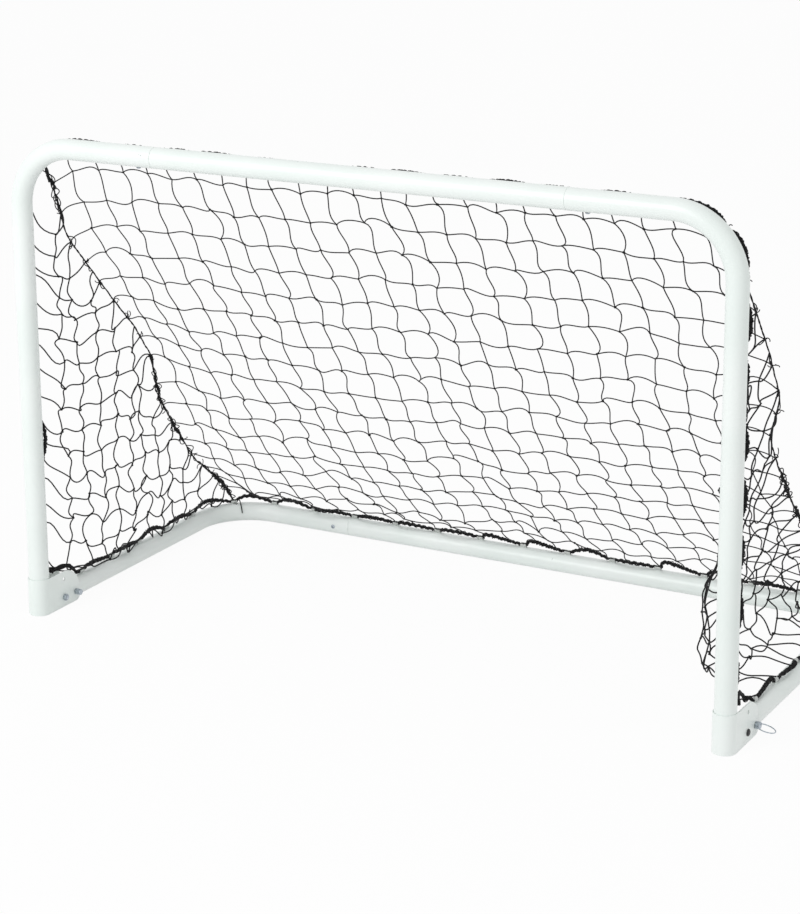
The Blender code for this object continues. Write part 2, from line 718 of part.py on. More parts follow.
def clips_by_tube(hoop, left, across, seam_x, names):
    """Share the clips of a hoop out to its left, middle and right tubes."""
    whole = 2 * hoop.half_length
    places = sorted([*left, *across, *[whole - s for s in left]])
    seams = (hoop.at_across(-seam_x), hoop.at_across(seam_x))
    return {
        names[0]: [s for s in places if s < seams[0]],
        names[1]: [s for s in places if seams[0] <= s <= seams[1]],
        names[2]: [s for s in places if s > seams[1]],
    }


def build_clips_and_lacing():
    """Clips along both hoops, and a lacing cord that rises off the tube between them."""
    half_hold = CLIP_LENGTH / 2 + CORD_PAST_CLIP
    work = (
        ("front_lacing_cord", FRONT, front_point, front_clip_places(), CORD_START_Z),
        ("base_lacing_cord", BASE, base_point, base_clip_places(), CORD_START_Y),
    )
    for name, hoop, point_of, places, start in work:
        for tube, stops in places.items():
            add_clips(PARTS.objects[tube], point_of, stops)
        held = [s for stops in places.values() for s in stops]
        points = [point_of(start, CORD_RISE)]
        for before, after in zip(held, [*held[1:], None], strict=True):
            points += [point_of(before - half_hold, CORD_RISE), point_of(before + half_hold, CORD_RISE)]
            if after is not None:
                points.append(point_of((before + after) / 2, CORD_CREST))
        points.append(point_of(2 * hoop.half_length - start, CORD_RISE))
        rod(name, points, CORD_R, 6, CORD)


def front_border(t):
    """The net's edge behind the left post, from the foot (0) to the bend's middle (1)."""
    foot = TUBE_D + CORD_CREST + NET_OFF
    s = foot + (FRONT.left_bend_middle() - foot) * t
    return front_point(s, CORD_CREST, NET_OFF)


def base_border(t):
    """The net's edge over the left base tube, from the foot (0) to the bend's middle (1)."""
    foot = TUBE_R + CORD_CREST + NET_OFF
    s = foot + (BASE.left_bend_middle() - foot) * t
    return base_point(s, CORD_CREST, NET_OFF)


def hang_of_seam(t):
    """How far the left seam hangs off the straight line between its ends.

    Both its sag, square to that line, and its way inwards go with sin(pi t) to the 1.5.
    """
    line = (base_border(1.0) - front_border(1.0)).normalized()
    below = Vector((0.0, line.z, -line.y)).normalized()
    wave = max(math.sin(math.pi * t), 0.0) ** 1.5
    return (below * SEAM_SAG + Vector((SEAM_INWARD, 0.0, 0.0))) * wave


def side_knot(up, back):
    """A place on the left side panel: a way up the post plus a way back along the base.

    The panel takes up the seam's hang with the square of its nearness to the seam.
    """
    flat = front_border(up) + base_border(back) - front_border(0.0)
    near = up + back
    return flat + hang_of_seam(back / near) * near**2 if near > 0 else flat


def seam_point(t):
    """A place on the left seam, from the top bend (0) to the rear bend (1)."""
    return side_knot(1 - t, t)


def beside_seam(knot, toward, corner_pull=1.0):
    """A net's edge knot, laid against the left seam cord on the side of a direction.

    corner_pull takes the two corner knots further off, where a panel ends in a sharp corner.
    """
    before = seam_point(max(knot - 1, 0) / SEAM_MESHES)
    after = seam_point(min(knot + 1, SEAM_MESHES) / SEAM_MESHES)
    along = (after - before).normalized()
    off = (toward - toward.dot(along) * along).normalized() * NET_OFF
    if knot in (0, SEAM_MESHES):
        off *= corner_pull
    return seam_point(knot / SEAM_MESHES) + off


def wired(name, points, faces):
    """A net panel: a strand along every edge of a sheet of meshes."""
    mesh = bpy.data.meshes.new(name)
    mesh.from_pydata([tuple(p) for p in points], [], faces)
    made = add_object(name, mesh, NET_TWINE)
    strands = made.modifiers.new("strands", "WIREFRAME")
    strands.thickness = TWINE
    strands.use_even_offset = True
    strands.use_boundary = True
    strands.use_replace = True
    return made


def build_side_nets():
    """Triangular side panels, with upright and level strands and a slanting edge."""
    n = SEAM_MESHES
    into_panel = Vector((0.0, -1.0, -1.0))
    index = {}
    points = []
    for up in range(n + 1):
        for back in range(n + 1 - up):
            index[up, back] = len(points)
            if up + back == n:
                points.append(beside_seam(back, into_panel, CORNER_PULL))
            else:
                points.append(side_knot(up / n, back / n))
    faces = []
    for up in range(n):
        for back in range(n - up):
            corners = [(up, back), (up, back + 1), (up + 1, back + 1), (up + 1, back)]
            faces.append([index[c] for c in corners if c in index])
    for side, sign in SIDES.items():
        placed = [mirrored(p, sign) for p in points]
        turned_faces = faces if sign < 0 else [list(reversed(f)) for f in faces]
        wired(f"{side}_side_net", placed, turned_faces)


def build_back_net():
    """The back panel between the two seams, the crossbar and the rear bar.

    It is the patch that blends its four edges: the mix of the two long edges, plus the mix of
    the two seams, less the mix of the four corners.
    """
    top_start, top_end = FRONT.left_bend_middle(), FRONT.half_length
    low_start, low_end = BASE.left_bend_middle(), BASE.half_length
    inward = Vector((1.0, 0.0, 0.0))
    wide, high = BACK_COLUMNS, SEAM_MESHES

    def top(u):
        return front_point(top_start + 2 * (top_end - top_start) * u, CORD_CREST, NET_OFF)

    def low(u):
        return base_point(low_start + 2 * (low_end - low_start) * u, CORD_CREST, NET_OFF)

    def knot(i, j):
        u, v = i / wide, j / high
        left = beside_seam(j, inward)
        across = (1 - v) * top(u) + v * low(u)
        down = (1 - u) * left + u * mirrored(left, 1.0)
        corners = (1 - v) * ((1 - u) * top(0) + u * top(1)) + v * ((1 - u) * low(0) + u * low(1))
        return across + down - corners

    points = [knot(i, j) for j in range(high + 1) for i in range(wide + 1)]
    faces = []
    for j in range(high):
        for i in range(wide):
            a = j * (wide + 1) + i
            faces.append([a, a + 1, a + wide + 2, a + wide + 1])
    wired("back_net", points, faces)


def build_seam_cords():
    """The thick cord that joins a side panel to the back panel, tied in at both bends."""
    over_clip = CORD_RISE + CLIP_OUTER_R + GAP + CORD_R
    first = front_point(FRONT.left_bend_middle(), over_clip)
    last = base_point(BASE.left_bend_middle(), over_clip)
    knots = [seam_point(i / SEAM_MESHES) for i in range(SEAM_MESHES + 1)]
    route = [first, *knots, last]
    for side, sign in SIDES.items():
        rod(f"{side}_seam_cord", [mirrored(p, sign) for p in route], CORD_R, 6, CORD)


def main():
    """Build every piece of the goal."""
    build_posts()
    crossbar = ("crossbar", CROSSBAR_SEAM_X, POST_Y, CROSSBAR_HEIGHT, (0, 0, -1))
    rear_bar = ("rear_bar", REAR_SEAM_X, POST_Y + BASE_DEPTH, TUBE_R, (0, -1, 0))
    for name, *where in (crossbar, rear_bar):
        smooth(straight_bar(name, *where))
        joint_screws(f"{name}_screw", *where)
    build_foot_plugs()
    build_brackets()
    build_pivots()
    build_lock_pins()
    build_base_tubes()
    build_clips_and_lacing()
    build_side_nets()
    build_back_net()
    build_seam_cords()


main()
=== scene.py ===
"""Looks of the folding soccer goal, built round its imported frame.

Each sub-assembly is a class with its sizes as fields. Shapes are worked out as whole numpy
arrays: a profile carried along a path, or a function on a grid. Lengths are metres, +X is to
the right of someone facing the mouth, +Y is towards the back of the goal and +Z is up.
"""

import logging
import math
from dataclasses import dataclass, field
from enum import Enum

import bpy
import numpy as np
from mathutils import Matrix, Vector

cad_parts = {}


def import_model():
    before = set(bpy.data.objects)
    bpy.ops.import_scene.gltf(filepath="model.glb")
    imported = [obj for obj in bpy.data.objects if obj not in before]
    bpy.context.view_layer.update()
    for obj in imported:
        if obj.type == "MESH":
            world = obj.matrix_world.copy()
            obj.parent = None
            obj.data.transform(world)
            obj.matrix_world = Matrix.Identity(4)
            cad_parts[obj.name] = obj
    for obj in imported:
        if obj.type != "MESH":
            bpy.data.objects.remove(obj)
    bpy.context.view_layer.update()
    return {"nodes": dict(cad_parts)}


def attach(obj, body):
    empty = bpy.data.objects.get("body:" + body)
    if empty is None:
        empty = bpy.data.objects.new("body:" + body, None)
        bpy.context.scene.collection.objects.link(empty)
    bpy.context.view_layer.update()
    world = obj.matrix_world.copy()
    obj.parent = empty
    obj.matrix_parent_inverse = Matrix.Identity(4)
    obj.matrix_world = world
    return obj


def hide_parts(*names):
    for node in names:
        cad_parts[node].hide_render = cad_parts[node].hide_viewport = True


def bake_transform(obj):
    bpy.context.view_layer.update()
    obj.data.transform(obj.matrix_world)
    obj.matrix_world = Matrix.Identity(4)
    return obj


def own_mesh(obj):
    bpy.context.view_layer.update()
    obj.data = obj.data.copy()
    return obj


Array = np.ndarray
Colour = tuple[float, float, float]
Socket = bpy.types.NodeSocket
LOG = logging.getLogger("folding_goal")
RIGHT, REAR, UP = np.eye(3)


class Body(Enum):
    """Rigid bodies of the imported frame."""

    FRONT = "front_frame"
    BASE = "base_frame"
    LEFT_PIN = "left_lock_pin"
    RIGHT_PIN = "right_lock_pin"
    LEFT_RING = "left_pull_ring"
    RIGHT_RING = "right_pull_ring"


class Slot(Enum):
    """Material slots of the record."""

    PAINT = "white_powder_coat"
    ZINC = "zinc_plate"
    PLASTIC = "black_plastic"
    NYLON = "white_nylon"
    CORD = "black_cord"
    TWINE = "black_net_twine"


class Side(Enum):
    """The two halves of the goal, with the sign of X on each."""

    LEFT = -1.0
    RIGHT = 1.0

    @property
    def label(self) -> str:
        """The side's word in node names."""
        return self.name.lower()

    @property
    def mirror(self) -> Array:
        """Factors that carry the left half's points to this side, and back."""
        return np.array([-self.value, 1.0, 1.0])


@dataclass(frozen=True)
class GoalSizes:
    """Main sizes of the goal, the same as in the CAD source."""

    tube_r: float = 0.019
    tube_wall: float = 0.0015
    half_width: float = 0.690
    crossbar_height: float = 0.895
    base_depth: float = 0.665
    bend_r: float = 0.110
    post_y: float = -0.33135
    crossbar_seam_x: float = 0.398
    rear_seam_x: float = 0.392
    seam_gap: float = 0.0003
    screw_from_seam: float = 0.034
    foot_gap: float = 0.0033
    band_inner_r: float = 0.0193
    band_outer_r: float = 0.0213
    pivot_back: float = 0.049
    lock_reach: float = 0.036
    fit_gap: float = 0.0003

    @property
    def pivot_y(self) -> float:
        """Where the fold axis lies, front to back."""
        return self.post_y + self.pivot_back

    @property
    def lock_y(self) -> float:
        """Where the lock pins lie, front to back."""
        return self.pivot_y + self.lock_reach

    @property
    def seat(self) -> float:
        """Distance from the goal's middle of what sits on a bracket's outer face."""
        return self.half_width + self.band_outer_r + self.fit_gap

    @property
    def inner_seat(self) -> float:
        """Distance from the goal's middle of what sits on a bracket's inner face."""
        return self.half_width - self.band_outer_r - self.fit_gap


SIZES = GoalSizes()


def unit(vectors: Array) -> Array:
    """Vectors divided by their lengths, along the last axis."""
    return vectors / np.maximum(np.linalg.norm(vectors, axis=-1, keepdims=True), 1e-12)


def smooth_step(t: Array) -> Array:
    """3t^2 - 2t^3 of t held between 0 and 1."""
    t = np.clip(t, 0.0, 1.0)
    return t * t * (3 - 2 * t)


def full_turn(sides: int) -> Array:
    """Angles of even steps round a circle."""
    return np.linspace(0, 2 * np.pi, sides, endpoint=False)


def run_along(path: Array) -> Array:
    """Length of a path up to each of its points, for one path or for many at once."""
    spans = np.linalg.norm(np.diff(path, axis=-2), axis=-1)
    return np.concatenate([np.zeros((*spans.shape[:-1], 1)), np.cumsum(spans, -1)], -1)


def soften(corners: Array, reach: float, steps: int = 3, closed: bool = False) -> Array:
    """Round the corners of a flat outline.

    A corner P becomes the parabola (1-t)^2 A + 2t(1-t) P + t^2 C, where A and C lie up to
    reach before and after P.

    Args:
        corners: (n, 2) points.
        reach: How far from each corner its curve starts.
        steps: Spans in each curve.
        closed: Whether the outline closes on itself.

    Returns:
        (m, 2) points, with both ends kept where the outline is open.
    """
    most_of_span = 0.45
    ends = []
    for way in (1, -1):
        towards = np.roll(corners, way, axis=0) - corners
        share = reach / np.maximum(np.linalg.norm(towards, axis=1), 1e-9)
        ends.append((corners + towards * np.minimum(share, most_of_span)[:, None])[:, None])
    t = np.linspace(0.0, 1.0, steps + 1)[None, :, None]
    curves = (1 - t) ** 2 * ends[0] + 2 * t * (1 - t) * corners[:, None] + t**2 * ends[1]
    if closed:
        return curves.reshape(-1, 2)
    return np.vstack([corners[:1], curves[1:-1].reshape(-1, 2), corners[-1:]])


@dataclass
class Surface:
    """Points and polygons of one mesh, with a UV for each polygon corner.

    Attributes:
        points: (n, 3) places.
        polys: Arrays of polygons, each of one number of corners.
        uvs: Corner coordinates for each of those arrays.
    """

    points: Array
    polys: list[Array]
    uvs: list[Array] = field(default_factory=list)

    def __post_init__(self) -> None:
        """Give corners without coordinates the coordinate 0, 0."""
        if not self.uvs:
            self.uvs = [np.zeros((*p.shape, 2)) for p in self.polys]

    @staticmethod
    def joined(*parts: "Surface") -> "Surface":
        """Put several surfaces into one.

        Args:
            parts: The surfaces.

        Returns:
            One surface that holds them all.
        """
        starts = np.cumsum([0, *[len(p.points) for p in parts[:-1]]])
        polys = [q + s for p, s in zip(parts, starts, strict=True) for q in p.polys]
        uvs = [u for p in parts for u in p.uvs]
        return Surface(np.vstack([p.points for p in parts]), polys, uvs)

    def outward(self) -> "Surface":
        """The same surface with its faces pointing out.

        Its volume is the sum over triangle fans of a . (b x c) / 6, and faces that give less
        than nothing are turned round.

        Returns:
            The surface itself.
        """
        volume = 0.0
        for poly in self.polys:
            corners = self.points[poly]
            volume += (corners[:, :1] * np.cross(corners[:, 1:-1], corners[:, 2:])).sum() / 6
        if volume < 0:
            self.polys = [p[:, ::-1].copy() for p in self.polys]
            self.uvs = [u[:, ::-1].copy() for u in self.uvs]
        return self

    def moved(self, place: Matrix) -> "Surface":
        """The same surface, turned and moved by a matrix."""
        turn = np.array(place, float)
        return Surface(self.points @ turn[:3, :3].T + turn[:3, 3], self.polys, self.uvs)

    def copies(self, turns: Array, places: Array) -> "Surface":
        """Many copies of the surface.

        Args:
            turns: (n, 3, 3) matrices whose rows are where each copy's axes point.
            places: (n, 3) places.

        Returns:
            The copies as one surface.
        """
        points = places[:, None] + np.einsum("vk,nkj->nvj", self.points, turns)
        starts = (np.arange(len(places)) * len(self.points))[:, None, None]
        polys = [(p[None] + starts).reshape(-1, p.shape[1]) for p in self.polys]
        return Surface(points.reshape(-1, 3), polys)

    def mesh(self, name: str) -> bpy.types.Mesh:
        """Put the surface into a mesh, without its UVs.

        Args:
            name: The mesh's name.

        Returns:
            The mesh.
        """
        made = bpy.data.meshes.new(name)
        faces = [face for poly in self.polys for face in poly.tolist()]
        made.from_pydata(self.points.tolist(), [], faces)
        return made


def grid_quads(rows: int, cols: int, wrap_rows: bool, wrap_cols: bool) -> tuple[Array, Array]:
    """Quads of a grid whose points are numbered row by row.

    Args:
        rows: Number of rows of points.
        cols: Number of points in a row.
        wrap_rows: Whether the last row joins the first.
        wrap_cols: Whether each row closes on itself.

    Returns:
        (n, 4) point numbers, and (n, 4, 2) column and row counts at the corners.
    """
    count = rows - (not wrap_rows), cols - (not wrap_cols)
    r, c = np.meshgrid(np.arange(count[0]), np.arange(count[1]), indexing="ij")
    row = np.stack([r, r, r + 1, r + 1], -1).reshape(-1, 4)
    col = np.stack([c, c + 1, c + 1, c], -1).reshape(-1, 4)
    return (row % rows) * cols + col % cols, np.stack([col, row], -1).astype(float)


def grid_surface(points: Array, wrap_rows: bool = False) -> Surface:
    """A surface over rings of points, with flat caps where the first and last don't join.

    Args:
        points: (rings, around, 3) points.
        wrap_rows: Whether the last ring joins the first.

    Returns:
        The surface, faces out.
    """
    rows, cols, _ = points.shape
    quads, uv = grid_quads(rows, cols, wrap_rows, True)
    polys, uvs = [quads], [uv / (cols, rows)]
    if not wrap_rows:
        ring = np.arange(cols)[None]
        polys += [ring[:, ::-1], ring + (rows - 1) * cols]
        uvs += [np.zeros((1, cols, 2))] * 2
    return Surface(points.reshape(-1, 3), polys, uvs).outward()


def turned(radii: Array, heights: Array, sides: int) -> Array:
    """Rings of points (r cos a, r sin a, h) about Z, from columns or whole grids of r and h."""
    a = full_turn(sides)
    return np.stack(np.broadcast_arrays(radii * np.cos(a), radii * np.sin(a), heights), -1)


def lathe(profile: Array, sides: int) -> Surface:
    """A solid turned about Z from (n, 2) radii and heights."""
    return grid_surface(turned(profile[:, :1], profile[:, 1:], sides))


def axis_place(centre: Array, axis: Array, side: Array = REAR) -> Matrix:
    """A matrix that puts local Z along an axis at a centre.

    Args:
        centre: Where the local origin goes.
        axis: Where local Z points.
        side: What local X lies near, or RIGHT in its place where the axis runs along it.

    Returns:
        The matrix.
    """
    z = Vector(axis).normalized()
    guide = Vector(side) if abs(z.dot(Vector(side))) < 0.9 else Vector(RIGHT)
    x = (guide - guide.dot(z) * z).normalized()
    return Matrix.Translation(Vector(centre)) @ Matrix((x, z.cross(x), z)).transposed().to_4x4()


def square_to(t: Array, guide: Array) -> tuple[Array, Array]:
    """Two directions square to t: n, the guide less its part along t, and t x n."""
    n = unit(guide - (guide * t).sum(-1, keepdims=True) * t)
    return n, np.cross(t, n)


def wound(path: Array, turn: Array, out: Array, guide: Array) -> Array:
    """A line wound round a path: path + out (cos turn n + sin turn b).

    Args:
        path: (n, 3) points.
        turn: Angle round the path at each.
        out: Distance from it at each.
        guide: A direction that the path never runs along.

    Returns:
        (n, 3) points.
    """
    n, b = square_to(unit(np.gradient(path, axis=0)), guide)
    return path + (out * np.cos(turn))[:, None] * n + (out * np.sin(turn))[:, None] * b


def strands(centres: Array, guide: Array, radius: Array | float, sides: int) -> Surface:
    """Round cords along many centre lines at once.

    With t the direction of a line, n is the guide less its part along t, and b = t x n. The
    surface is centre + r (cos a n + sin a b).

    Args:
        centres: (lines, stations, 3) points.
        guide: A direction that no line runs along, one for all or one for each line.
        radius: One radius, or one for each surface point.
        sides: Steps round a cord.

    Returns:
        The cords, with V of their UV the length along them in turns of the cord's girth.
    """
    lines, stations, _ = centres.shape
    guide = np.broadcast_to(np.asarray(guide, float).reshape(-1, 1, 3), centres.shape)
    n, b = square_to(unit(np.gradient(centres, axis=1)), guide)
    a = full_turn(sides)[:, None]
    r = np.broadcast_to(radius, (lines, stations, sides))[..., None]
    points = centres[:, :, None] + r * (np.cos(a) * n[:, :, None] + np.sin(a) * b[:, :, None])
    quads, corner = grid_quads(stations, sides, False, True)
    starts = (np.arange(lines) * stations * sides)[:, None]
    v = run_along(centres)[:, corner[..., 1].astype(int)] / (2 * np.pi * float(r.mean()))
    u = np.broadcast_to(corner[..., 0] / sides, v.shape)
    ring = np.arange(sides)
    caps = np.zeros((lines, sides, 2))
    polys = [
        (quads + starts[..., None]).reshape(-1, 4),
        ring[::-1] + starts,
        ring + (stations - 1) * sides + starts,
    ]
    uvs = [np.stack([u, v], -1).reshape(-1, 4, 2), caps, caps]
    return Surface(points.reshape(-1, 3), polys, uvs)


def closed_strand(centres: Array, guide: Array, radius: float, sides: int) -> Surface:
    """A round wire along a closed line, by the same formula as strands.

    Args:
        centres: (stations, 3) points, the last one next to the first.
        guide: A direction that the line never runs along.
        radius: The wire's radius.
        sides: Steps round the wire.

    Returns:
        The wire.
    """
    n, b = square_to(unit(np.roll(centres, -1, 0) - np.roll(centres, 1, 0)), guide)
    a = full_turn(sides)[:, None]
    ring = np.cos(a) * n[:, None] + np.sin(a) * b[:, None]
    return grid_surface(centres[:, None] + radius * ring, wrap_rows=True)


def rope(path: Array, guide: Array, radius: Array, lay: float = 0.013, sides: int = 12) -> Surface:
    """A laid rope of three strands along a path.

    Its radius round the path is R (0.76 + 0.24 |cos 1.5 (a - 2 pi l / lay)|), which is three
    lobes that turn once in each length of lay.

    Args:
        path: (n, 3) points, evenly spaced.
        guide: A direction that the path never runs along.
        radius: Radius over the lobes, one for each point as a column.
        lay: Length of one turn.
        sides: Steps round the rope.

    Returns:
        The rope.
    """
    turn = full_turn(sides) - 2 * np.pi * run_along(path)[:, None] / lay
    lobes = 0.76 + 0.24 * np.abs(np.cos(1.5 * turn))
    return strands(path[None], guide, (radius * lobes)[None], sides)


def through(points: Array, steps: int) -> Array:
    """A smooth curve through points.

    Each span is the Catmull-Rom cubic: half of (2b + (c-a)t + (2a-5b+4c-d)t^2 +
    (3b-a-3c+d)t^3).

    Args:
        points: (n, 3) points.
        steps: Stations in each span.

    Returns:
        ((n - 1) * steps + 1, 3) points.
    """
    full = np.vstack([2 * points[0] - points[1], points, 2 * points[-1] - points[-2]])
    a, b, c, d = (full[k : len(full) - 3 + k, None] for k in range(4))
    t = (np.arange(steps) / steps)[None, :, None]
    spans = 2 * b + (c - a) * t + (2 * a - 5 * b + 4 * c - d) * t**2
    spans = spans + (3 * b - a - 3 * c + d) * t**3
    return np.vstack([(spans / 2).reshape(-1, 3), points[-1:]])


@dataclass(frozen=True)
class Hoop:
    """Centre line of a U-shaped frame, by the distance s from its left foot.

    Attributes:
        reach: Length of a side, up to the cross piece's centre line.
        lies: Whether the frame lies on the ground, with its plane level.
    """

    reach: float
    lies: bool

    @property
    def run(self) -> float:
        """Straight length of a side."""
        return self.reach - SIZES.bend_r

    @property
    def bend_end(self) -> float:
        """Distance to where the left bend meets the cross piece."""
        return self.run + SIZES.bend_r * math.pi / 2

    @property
    def bend_middle(self) -> float:
        """Distance to the middle of the left bend."""
        return (self.run + self.bend_end) / 2

    @property
    def half_length(self) -> float:
        """Length of the centre line up to the goal's middle."""
        return self.bend_end + SIZES.half_width - SIZES.bend_r

    def along_and_out(self, s: Array) -> tuple[Array, Array, Array]:
        """Flat places of the centre line and what points out of the hoop there.

        With turn = (q - run) / R held to a quarter turn, where q is the distance from the
        nearer foot, the place is (-W + R (1 - cos turn) + what is left over, and
        q up to run, plus R sin turn), mirrored past the middle.

        Args:
            s: Distances from the left foot.

        Returns:
            (n, 2) places, (n, 2) outward directions, and the share of the turn made, 0 to 1.
        """
        s = np.asarray(s, float)
        past = s > self.half_length
        q = np.where(past, 2 * self.half_length - s, s)
        mirror = np.where(past, -1.0, 1.0)
        turn = np.clip((q - self.run) / SIZES.bend_r, 0.0, math.pi / 2)
        beyond = np.maximum(q - self.bend_end, 0.0)
        across = -SIZES.half_width + SIZES.bend_r * (1 - np.cos(turn)) + beyond
        along = np.minimum(q, self.run) + SIZES.bend_r * np.sin(turn)
        out = np.stack([-np.cos(turn) * mirror, np.sin(turn)], -1)
        return np.stack([across * mirror, along], -1), out, turn / (math.pi / 2)

    def centre(self, s: Array) -> Array:
        """Centre line points in the goal's frame.

        Args:
            s: Distances from the left foot.

        Returns:
            (n, 3) points.
        """
        x, along = np.moveaxis(self.along_and_out(s)[0], -1, 0)
        if self.lies:
            return np.stack([x, SIZES.post_y + along, np.full_like(x, SIZES.tube_r)], -1)
        return np.stack([x, np.full_like(x, SIZES.post_y), along], -1)

    def axes(self, s: Array, tilt_deg: float = 0.0) -> tuple[Array, Array]:
        """The two directions square to the tube at each place.

        Args:
            s: Distances from the left foot.
            tilt_deg: How far the back direction leans outwards on the cross piece.

        Returns:
            Outward directions, and the directions of the tube's back (or its top, where the
            hoop lies on the ground).
        """
        _, out, share = self.along_and_out(s)
        outward = out @ np.stack([RIGHT, REAR if self.lies else UP])
        if self.lies:
            return outward, np.broadcast_to(UP, outward.shape)
        tilt = np.radians(tilt_deg) * smooth_step(share)[..., None]
        return outward, np.cos(tilt) * REAR + np.sin(tilt) * outward

    def tube(self, stations: Array, radii: Array, sides: int) -> Array:
        """Points of a tube: centre(s) + r (cos a outward + sin a back).

        Args:
            stations: (n,) distances, or (n, sides) where a row isn't square to the tube.
            radii: (n,) radii.
            sides: Steps round the tube.

        Returns:
            (n, sides, 3) points.
        """
        a = full_turn(sides)[:, None]
        s = stations if stations.ndim == 2 else stations[:, None]
        outward, back = self.axes(np.broadcast_to(s, (len(radii), sides)))
        around = np.cos(a) * outward + np.sin(a) * back
        return self.centre(np.broadcast_to(s, (len(radii), sides))) + radii[:, None, None] * around


FRONT_HOOP = Hoop(SIZES.crossbar_height, lies=False)
BASE_HOOP = Hoop(SIZES.base_depth, lies=True)


class NodeSheet:
    """A node tree, with short calls for adding and joining nodes.

    Attributes:
        owner: The material or world that the tree belongs to.
        tree: The tree.
        shader: A material's shader.
    """

    def __init__(self, owner: bpy.types.Material | bpy.types.World) -> None:
        """Switch the owner's nodes on and find its shader."""
        owner.use_nodes = True
        self.owner, self.tree = owner, owner.node_tree
        self.shader = self.tree.nodes.get("Principled BSDF")

    def plug(self, value: object, entry: Socket) -> None:
        """Give an input its value.

        Args:
            value: A socket to link it to, or the value that it's set to.
            entry: The input.
        """
        if isinstance(value, Socket):
            self.tree.links.new(value, entry)
        else:
            entry.default_value = value

    def fill(self, node: bpy.types.Node, **values: object) -> bpy.types.Node:
        """Plug values into a node.

        Args:
            node: The node.
            values: Sockets or plain values by input, an underscore standing for a space.

        Returns:
            The node.
        """
        for name, value in values.items():
            self.plug(value, node.inputs[name.replace("_", " ")])
        return node

    def node(self, kind: str, **values: object) -> bpy.types.Node:
        """Add a node and plug values into it."""
        return self.fill(self.tree.nodes.new(kind), **values)

    def place(self, coordinate: str, scale: tuple[float, float, float]) -> Socket:
        """A scaled coordinate: Object or UV."""
        source = self.node("ShaderNodeTexCoord").outputs[coordinate]
        return self.node("ShaderNodeMapping", Vector=source, Scale=scale).outputs["Vector"]

    def noise(self, scale: float, detail: float = 2.0) -> Socket:
        """A noise of a given number of features to the metre."""
        values = {"Vector": self.place("Object", (1.0,) * 3), "Scale": scale, "Detail": detail}
        return self.node("ShaderNodeTexNoise", **values).outputs["Fac"]

    def ramp(self, source: Socket, *stops: tuple[float, Colour]) -> Socket:
        """Colours picked by a value.

        Args:
            source: The value.
            stops: Two values, each with its colour.

        Returns:
            The colour.
        """
        made = self.node("ShaderNodeValToRGB", Fac=source)
        for bar, (place, colour) in zip(made.color_ramp.elements, stops, strict=True):
            bar.position, bar.color = place, (*colour, 1.0)
        return made.outputs["Color"]

    def between(self, source: Socket, low: float, high: float) -> Socket:
        """A value from 0 to 1 spread between two others."""
        made = self.node("ShaderNodeMapRange", Value=source, To_Min=low, To_Max=high)
        return made.outputs["Result"]

    def bump(self, height: Socket, strength: float, distance: float, **under: Socket) -> Socket:
        """A bumped normal, over another one where Normal is given."""
        values = {"Height": height, "Strength": strength, "Distance": distance, **under}
        return self.node("ShaderNodeBump", **values).outputs["Normal"]

    def maths(self, operation: str, first: object, second: object) -> Socket:
        """Work out something from two values.

        Args:
            operation: What a Math node does with them.
            first: A socket or a number.
            second: Another one.

        Returns:
            The result.
        """
        made = self.tree.nodes.new("ShaderNodeMath")
        made.operation = operation
        self.plug(first, made.inputs[0])
        self.plug(second, made.inputs[1])
        return made.outputs[0]

    def seen(self) -> Socket:
        """Tell rays that show a thing from those that light others.

        Returns:
            1 for rays from the camera, from mirrors and through clear things, 0 for others.
        """
        rays = self.node("ShaderNodeLightPath").outputs
        found = self.maths("MAXIMUM", rays["Is Camera Ray"], rays["Is Glossy Ray"])
        return self.maths("MAXIMUM", found, rays["Is Transmission Ray"])


@dataclass(frozen=True)
class PowderCoat:
    """White powder coat: a faint orange peel, slow shifts of tone and a few small scuffs.

    Noises are given by their features to the metre.
    """

    name: str = "white_powder_coat_finish"
    tone: Colour = (0.81, 0.872, 0.845)
    light: Colour = (0.86, 0.905, 0.885)
    scuff: Colour = (0.52, 0.55, 0.54)
    shifts: float = 7.0
    scuffs: float = 55.0
    scuff_range: tuple[float, float] = (0.735, 0.76)
    gloss: float = 30.0
    rough: tuple[float, float] = (0.28, 0.42)
    peel: float = 650.0
    coat: float = 0.25
    coat_rough: float = 0.22

    def build(self) -> bpy.types.Material:
        """Build the finish.

        Returns:
            The material.
        """
        sheet = NodeSheet(bpy.data.materials.new(self.name))
        tone = sheet.ramp(sheet.noise(self.shifts), (0.35, self.tone), (0.65, self.light))
        first, last = self.scuff_range
        marks = sheet.ramp(sheet.noise(self.scuffs, 4.0), (first, (0.0,) * 3), (last, (1.0,) * 3))
        mix = sheet.node("ShaderNodeMix")
        mix.data_type = "RGBA"
        sheet.plug(marks, mix.inputs["Factor"])
        sheet.plug(tone, mix.inputs[6])
        sheet.plug((*self.scuff, 1.0), mix.inputs[7])
        sheet.fill(
            sheet.shader,
            Base_Color=mix.outputs[2],
            Roughness=sheet.between(sheet.noise(self.gloss, 3.0), *self.rough),
            Normal=sheet.bump(sheet.noise(self.peel, 1.5), 0.12, 0.0003),
            Coat_Weight=self.coat,
            Coat_Roughness=self.coat_rough,
        )
        return sheet.owner


